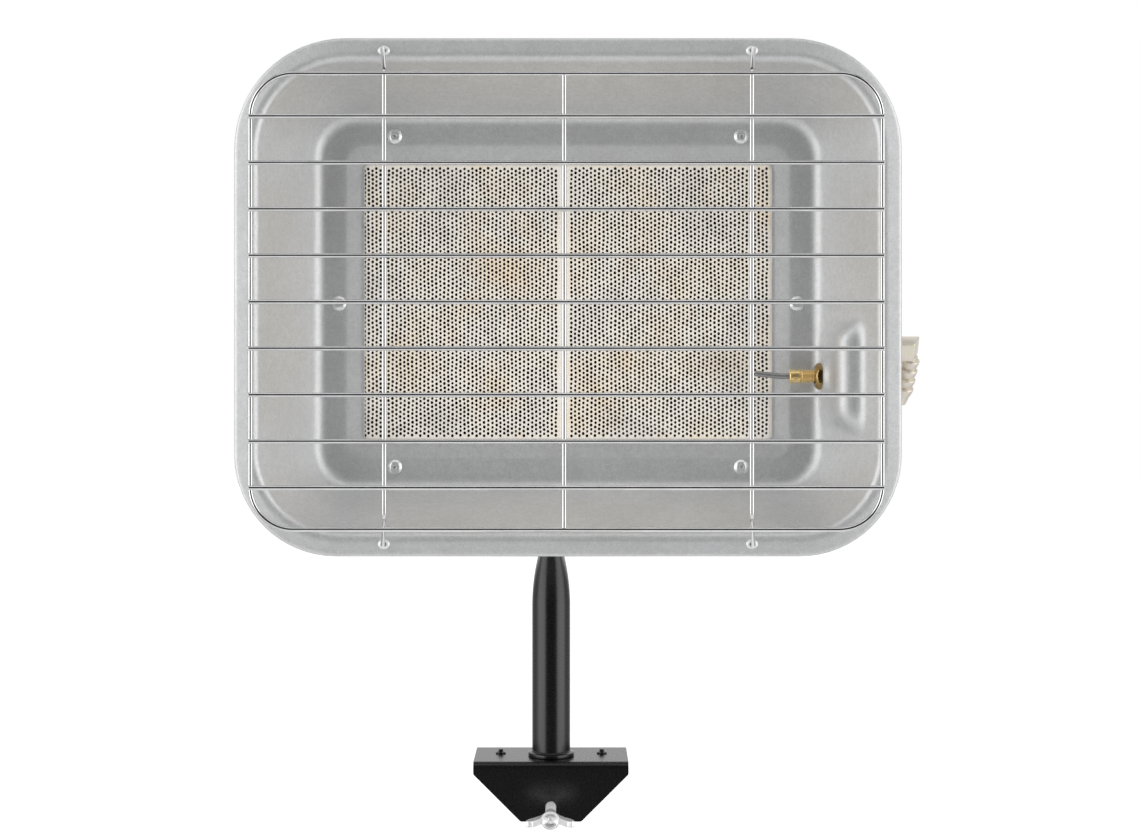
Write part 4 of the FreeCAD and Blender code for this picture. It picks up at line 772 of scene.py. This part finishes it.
NUT_HALF, NUT_THICK, NUT_BORE = 6.5, 3.6, 4.02
NUT_CONE, NUT_OUT, NUT_EDGE = 0.75, 0.9, 0.3
NUT_STOPS = [0, 0.25, 0.6, 1.0, 1.5, 2.0, 2.6, NUT_THICK - NUT_EDGE, NUT_THICK]
NUT_SIDES = 72
NUT_FACES = [(136.8, -1), (144.8, 1)]


def nut_radius(along, angle):
    """Outside of the nut at a distance from its coned face: the least of the flat, the cone and the rear edge."""
    off = (angle + math.pi / 6) % (math.pi / 3) - math.pi / 6
    rear = NUT_HALF + NUT_OUT - max(0.0, along - NUT_THICK + NUT_EDGE)
    return min(NUT_HALF / math.cos(off), NUT_HALF - NUT_CONE + along, rear)


def cone_nut(x, outward):
    """Nut on the sensor's axis: its coned face is at x and looks along X (outward 1) or against it (-1)."""
    verts = []
    for inner in (False, True):
        for along in NUT_STOPS:
            for k in range(NUT_SIDES):
                a = 2 * math.pi * k / NUT_SIDES
                r = NUT_BORE if inner else nut_radius(along, a)
                verts.append(head(x - outward * along, SENSOR_DEPTH - r * math.cos(a), SENSOR_Z + r * math.sin(a)))
    rows = len(NUT_STOPS)
    bore = rows * NUT_SIDES
    outside = wound(rows, NUT_SIDES)
    faces = outside + [tuple(bore + i for i in face[::-1]) for face in outside]
    for base in (0, bore - NUT_SIDES):
        for k in range(NUT_SIDES):
            n = (k + 1) % NUT_SIDES
            face = (base + k, bore + base + k, bore + base + n, base + n)
            faces.append(face if base == 0 else face[::-1])
    return verts, faces


locknuts = [cone_nut(x, outward) for x, outward in NUT_FACES]
# The locknuts take the darker brass, painted shade.
nuts = new_piece("pad_locknuts", *joined(locknuts), nut_brass_painted_shade, "head", "brass", ("thermocouple_locknuts",))
nuts.data.set_sharp_from_angle(angle=math.radians(24))


# Thermocouple sleeve: a plain collar with a small window in it, then a thread

SLEEVE_FRONT, SLEEVE_END = 122.6, 149.4
SLEEVE_R, SLEEVE_THREAD_R, SLEEVE_BORE = 3.85, 3.95, 1.75
SLEEVE_PITCH, SLEEVE_CUT, SLEEVE_THREAD = 1.5, 0.8, (128.6, SLEEVE_END)
SLEEVE_START, SLEEVE_STEP, SLEEVE_STEPS = 128.8, 0.1, 206
WINDOW_X, WINDOW_Z, WINDOW_DEPTH = (124.9, 126.9), 1.8, 1.1


def on_sleeve(along, radius, angle):
    """Point round the sleeve's axis, along the head's X: angle 0 faces forward."""
    z = radius * math.sin(angle)
    if WINDOW_X[0] <= along <= WINDOW_X[1] and math.cos(angle) > 0 and abs(z) < WINDOW_Z:
        radius -= WINDOW_DEPTH
    return head(along, SENSOR_DEPTH - radius * math.cos(angle), SENSOR_Z + radius * math.sin(angle))


collar = [(SLEEVE_FRONT + 0.3, SLEEVE_BORE), (SLEEVE_FRONT, 1.9), (SLEEVE_FRONT, 3.3), (122.9, 3.65)]
collar += [(x, SLEEVE_R) for x in (123.3, 124.0, 124.88, 124.9, 125.9, 126.9, 126.92, 128.1)]
collar += [(128.3, 3.45), (128.6, 3.4)]
collar += [(SLEEVE_START + SLEEVE_STEP * k, SLEEVE_THREAD_R) for k in range(SLEEVE_STEPS)]
collar += [(SLEEVE_END, 3.4), (SLEEVE_END, 1.9), (SLEEVE_END - 0.3, SLEEVE_BORE)]
sleeve = new_piece("sleeve_body", *threaded(collar, SLEEVE_PITCH, SLEEVE_CUT, SLEEVE_THREAD, on_sleeve, 64), brass,
                   "head", "brass", ("thermocouple_sleeve",))
sleeve.data.set_sharp_from_angle(angle=math.radians(40))


# Return spring of the push button

SPRING_LOW, SPRING_HIGH, SPRING_TURNS = -15.3, 0.7, 6
SPRING_R, SPRING_WIRE, TURN_STEPS = 4.2, 0.5, 28
coil = []
for k in range(SPRING_TURNS * TURN_STEPS + 1):
    a = 2 * math.pi * k / TURN_STEPS
    rise = SPRING_LOW + (SPRING_HIGH - SPRING_LOW) * k / (SPRING_TURNS * TURN_STEPS)
    coil.append(head(VALVE_X + SPRING_R * math.cos(a), VALVE_DEPTH + SPRING_R * math.sin(a), rise))
spring = new_piece("return_spring", *tube(coil, SPRING_WIRE * MM, 10), zinc, "head", "zinc_plate", ("button_spring",))
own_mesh(spring)


# Perforated plaques

COLUMN_PITCH, HOLE_PITCH = 2.25, 2.45
HOLE_R, HOLE_RIM, HOLE_DEPTH = 0.76, 0.86, 7.0
HOLE_TALL, HOLE_LIP, HOLE_TAPER = 1.13, 0.2, 0.9
HOLE_SHIFT, HOLE_SPREAD = 0.05, (0.9, 1.1)
FIELD_HALF, FIELD_EDGE = 77.0, 1.0
PLAQUE_TOP, PLAQUE_FRONT, PLAQUE_BACK = 81.0, 61.5, 74.5
BORDER_BACK = 0.02


def drift(x, z):
    """Small slow wander of the hole rows, as pressed and fired ceramic shows."""
    dx = 0.13 * np.sin(x * 0.31 + z * 0.17 + 0.6) + 0.1 * np.sin(x * 0.13 - z * 0.43 + 2.1)
    dz = 0.15 * np.sin(x * 0.23 - z * 0.19 + 1.3) + 0.1 * np.sin(x * 0.47 + z * 0.11 + 0.2)
    return dx, dz


def ring_to_cell():
    """Triangles between an eight-sided hole ("r" edges) and its six-sided cell ("h" edges): edge and far corner."""
    link = []
    i = j = 0
    while i < 8 or j < 6:
        ring_next = (i + 1.5) * 45
        cell_next = (j + 1) * 60 - 0.01
        if j == 6 or (i < 8 and ring_next <= cell_next):
            link.append(("r", i % 8, (i + 1) % 8, j % 6))
            i += 1
        else:
            link.append(("h", j % 6, (j + 1) % 6, i % 8))
            j += 1
    return link


def plaque(name, node, left, right, first, last, seed):
    """Slab with a hole in each six-sided cell from first to last, and a plain border."""
    rng = np.random.default_rng(seed)
    columns = int((last - first - 2 * HOLE_RIM) / COLUMN_PITCH) + 1
    count = int((2 * FIELD_HALF - 2 * HOLE_RIM) / HOLE_PITCH)
    x0 = (first + last - (columns - 1) * COLUMN_PITCH) / 2
    z0 = -(count - 0.5) * HOLE_PITCH / 2
    a, b = COLUMN_PITCH, HOLE_PITCH
    hexagon = np.array([(2 * a / 3, 0), (a / 3, b / 2), (-a / 3, b / 2),
                        (-2 * a / 3, 0), (-a / 3, -b / 2), (a / 3, -b / 2)])
    eight = np.array([(math.cos(t), HOLE_TALL * math.sin(t)) for t in (np.arange(8) + 0.5) * math.pi / 4])
    link = ring_to_cell()
    verts, faces, bores = [], [], []

    def add(points, depth):
        """Add points at a depth and give the number of the first."""
        base = len(verts)
        verts.extend(head(x, depth, z) for x, z in points)
        return base

    def rectangle(x_low, x_high, z_low, z_high, depth):
        """Add the four corners of a rectangle."""
        return add([(x_low, z_low), (x_high, z_low), (x_high, z_high), (x_low, z_high)], depth)

    for column in range(-1, columns + 1):
        for row in range(-1, count + 1):
            cx = x0 + column * a
            cz = z0 + row * b + (b / 2 if column % 2 else 0)
            cell = hexagon + (cx, cz)
            dx, dz = drift(cell[:, 0], cell[:, 1])
            outer = add(np.stack([cell[:, 0] + dx, cell[:, 1] + dz], axis=1), PLAQUE_FRONT)
            if not (0 <= column < columns and 0 <= row < count):
                faces.append(tuple(outer + k for k in range(6)))
                continue
            dx, dz = drift(np.array([cx]), np.array([cz]))
            spot = np.array([cx + dx[0], cz + dz[0]]) + rng.normal(0, HOLE_SHIFT, 2)
            radius = HOLE_R * rng.uniform(*HOLE_SPREAD)
            rim = add(spot + eight * (radius + HOLE_RIM - HOLE_R), PLAQUE_FRONT)
            lip = add(spot + eight * radius, PLAQUE_FRONT + HOLE_LIP)
            end = add(spot + eight * radius * HOLE_TAPER, PLAQUE_FRONT + HOLE_DEPTH)
            for kind, p, q, o in link:
                faces.append((rim + q, rim + p, outer + o) if kind == "r" else (outer + p, outer + q, rim + o))
            for k in range(8):
                n = (k + 1) % 8
                faces.append((rim + k, rim + n, lip + n, lip + k))
                bores.append((lip + k, lip + n, end + n, end + k))
            bores.append(tuple(end + k for k in range(8)))
    under = PLAQUE_FRONT + BORDER_BACK
    base = rectangle(left, right, -PLAQUE_TOP, PLAQUE_TOP, under)
    rectangle(x0 - FIELD_EDGE, x0 + (columns - 1) * a + FIELD_EDGE,
              z0 - FIELD_EDGE, z0 + (count - 0.5) * b + FIELD_EDGE, under)
    rectangle(left, right, -PLAQUE_TOP, PLAQUE_TOP, PLAQUE_BACK)
    for k in range(4):
        n = (k + 1) % 4
        faces.append((base + k, base + n, base + 4 + n, base + 4 + k))
        faces.append((base + 8 + k, base + 8 + n, base + n, base + k))
    faces.append((base + 11, base + 10, base + 9, base + 8))
    obj = new_piece(name, verts, faces + bores, ceramic, "head", "ceramic", (node,), smooth=False)
    # The holes' walls and blind ends take the darker ceramic: painted shade in place of the dark inside the holes.
    obj.data.materials.append(bore_painted_shade)
    for polygon in obj.data.polygons[len(faces):]:
        polygon.material_index = 1


plaque("plaque_left_face", "plaque_left", left=-121.1, right=-2.6, first=-115.7, last=-5.9, seed=3)
plaque("plaque_right_face", "plaque_right", left=-1.6, right=116.9, first=0.6, last=113.5, seed=5)


# Camera: fitted to the photograph, whose width, focal length and shift are in pixels

CAMERA_PLACE = (9.7, -1055.5, 235.9)
PHOTO_WIDTH, FOCAL_LENGTH, SHIFT_X, SHIFT_Y = 1140, 1792, 2, -30
FILM_WIDTH = 36.0
camera_data = bpy.data.cameras.new("camera")
camera = shown("camera", camera_data)
camera.location = Vector(CAMERA_PLACE) * MM
camera.rotation_euler = (math.pi / 2, 0, 0)
camera_data.sensor_width = FILM_WIDTH
camera_data.lens = FILM_WIDTH * FOCAL_LENGTH / PHOTO_WIDTH
camera_data.shift_x = SHIFT_X / PHOTO_WIDTH
camera_data.shift_y = SHIFT_Y / PHOTO_WIDTH
scene = bpy.context.scene
scene.camera = camera
scene.view_settings.view_transform = "Standard"


# Lights: soft boxes, given by place, target, width, height and power in watts

def softbox(name, place, target, width, height, power):
    """A rectangular area light that faces a target."""
    data = bpy.data.lights.new(name, "AREA")
    data.shape = "RECTANGLE"
    data.size = width
    data.size_y = height
    data.energy = power
    lamp = shown(name, data)
    lamp.location = place
    lamp.rotation_euler = (Vector(target) - lamp.location).to_track_quat("-Z", "Y").to_euler()
    return lamp


CENTRE = (0.01, -0.08, 0.26)
softbox("left_softbox", (-1.37, -0.84, 0.45), CENTRE, 1.5, 1.8, 9.5)
softbox("right_softbox", (1.37, -0.84, 0.45), CENTRE, 1.5, 1.8, 9.3)
softbox("top_softbox", (0.0, -0.73, 1.72), CENTRE, 1.6, 0.92, 4.6)
softbox("low_softbox", (0.0, -1.2, -0.4), (0.0, -0.07, 0.1), 1.6, 0.4, 2.8).visible_glossy = False


# World: even light for dull surfaces, a studio for bright ones to mirror, and white behind the object

# The edges between its zones are ranges of the direction: sideways share, height, or distance behind
AMBIENT, GAP_MIDDLE = 0.69, 0.03
GAP_EDGE, LOW_EDGE, CEILING_EDGE = (0.53, 0.65), (-0.6, -0.32), (0.815, 0.84)
MIDDLE_EDGE, BACK_EDGE = (0.35, 0.65), (0.02, 0.35)
world = bpy.data.worlds.new("studio")
scene.world = world
world.use_nodes = True
world.cycles.sampling_method = "NONE"
sky = world.node_tree
sky.nodes.clear()


def maths(operation, *values):
    """A sum of sockets and numbers."""
    node = sky.nodes.new("ShaderNodeMath")
    node.operation = operation
    for socket, value in zip(node.inputs, values):
        feed(sky, socket, value)
    return node.outputs["Value"]


def background(colour, strength=1.0):
    """Light of a colour, which is a constant or a socket."""
    node = sky.nodes.new("ShaderNodeBackground")
    feed(sky, node.inputs["Color"], colour)
    node.inputs["Strength"].default_value = strength
    return node.outputs["Background"]


def chosen(factor, first, second):
    """The second shader where the factor is 1, the first elsewhere."""
    node = sky.nodes.new("ShaderNodeMixShader")
    for socket, value in zip(node.inputs, (factor, first, second)):
        feed(sky, socket, value)
    return node.outputs["Shader"]


rays = sky.nodes.new("ShaderNodeLightPath").outputs
split = sky.nodes.new("ShaderNodeSeparateXYZ")
sky.links.new(sky.nodes.new("ShaderNodeTexCoord").outputs["Generated"], split.inputs["Vector"])
x, y, z = (split.outputs[axis] for axis in "XYZ")
level = maths("SQRT", maths("ADD", maths("MULTIPLY", x, x), maths("MULTIPLY", y, y)))
aside = maths("DIVIDE", maths("ABSOLUTE", maths("SUBTRACT", x, GAP_MIDDLE)), level)
# In front a dark gap between two pale sides, pale below it; behind a white middle; a dark ceiling over all
gap = ramp(sky, spread(sky, aside, 0.0, 1.0, *GAP_EDGE), [(0.0, grey(0.03)), (1.0, grey(0.8))])
lower = mixed(sky, spread(sky, z, 1.0, 0.0, *LOW_EDGE), gap, (*grey(0.85), 1))
behind = ramp(sky, spread(sky, aside, 0.0, 1.0, *MIDDLE_EDGE), [(0.0, WHITE), (1.0, grey(0.35))])
backdrop = mixed(sky, spread(sky, y, 0.0, 1.0, *BACK_EDGE), lower, behind)
studio = mixed(sky, spread(sky, z, 0.0, 1.0, *CEILING_EDGE), backdrop, (*grey(0.1), 1))
lit = chosen(rays["Is Glossy Ray"], background((*WHITE, 1), AMBIENT), background(studio))
seen = maths("MAXIMUM", rays["Is Camera Ray"], rays["Is Transmission Ray"])
out = sky.nodes.new("ShaderNodeOutputWorld")
sky.links.new(chosen(seen, lit, background((*WHITE, 1))), out.inputs["Surface"])


# Floor: a plain pale sheet well below the object, which the camera sees as nearly white

FLOOR_Z, FLOOR_HALF, FLOOR_GLOW = -0.55, 14.0, 0.74
floor_mesh = bpy.data.meshes.new("floor")
floor_mesh.from_pydata([(sx * FLOOR_HALF, sy * FLOOR_HALF, FLOOR_Z)
                        for sx, sy in ((-1, -1), (1, -1), (1, 1), (-1, 1))], [], [(0, 1, 2, 3)])
floor = shown("floor", floor_mesh)
floor.visible_glossy = False
pale_floor = bpy.data.materials.new("pale_floor")
pale_floor.use_nodes = True
tree = pale_floor.node_tree
shader = tree.nodes["Principled BSDF"]
shader.inputs["Base Color"].default_value = (*grey(0.6), 1)
shader.inputs["Roughness"].default_value = 0.9
shader.inputs["Emission Color"].default_value = (*WHITE, 1)
camera_ray = tree.nodes.new("ShaderNodeLightPath").outputs["Is Camera Ray"]
tree.links.new(spread(tree, camera_ray, 0.0, FLOOR_GLOW, 0.0, 1.0), shader.inputs["Emission Strength"])
floor_mesh.materials.append(pale_floor)
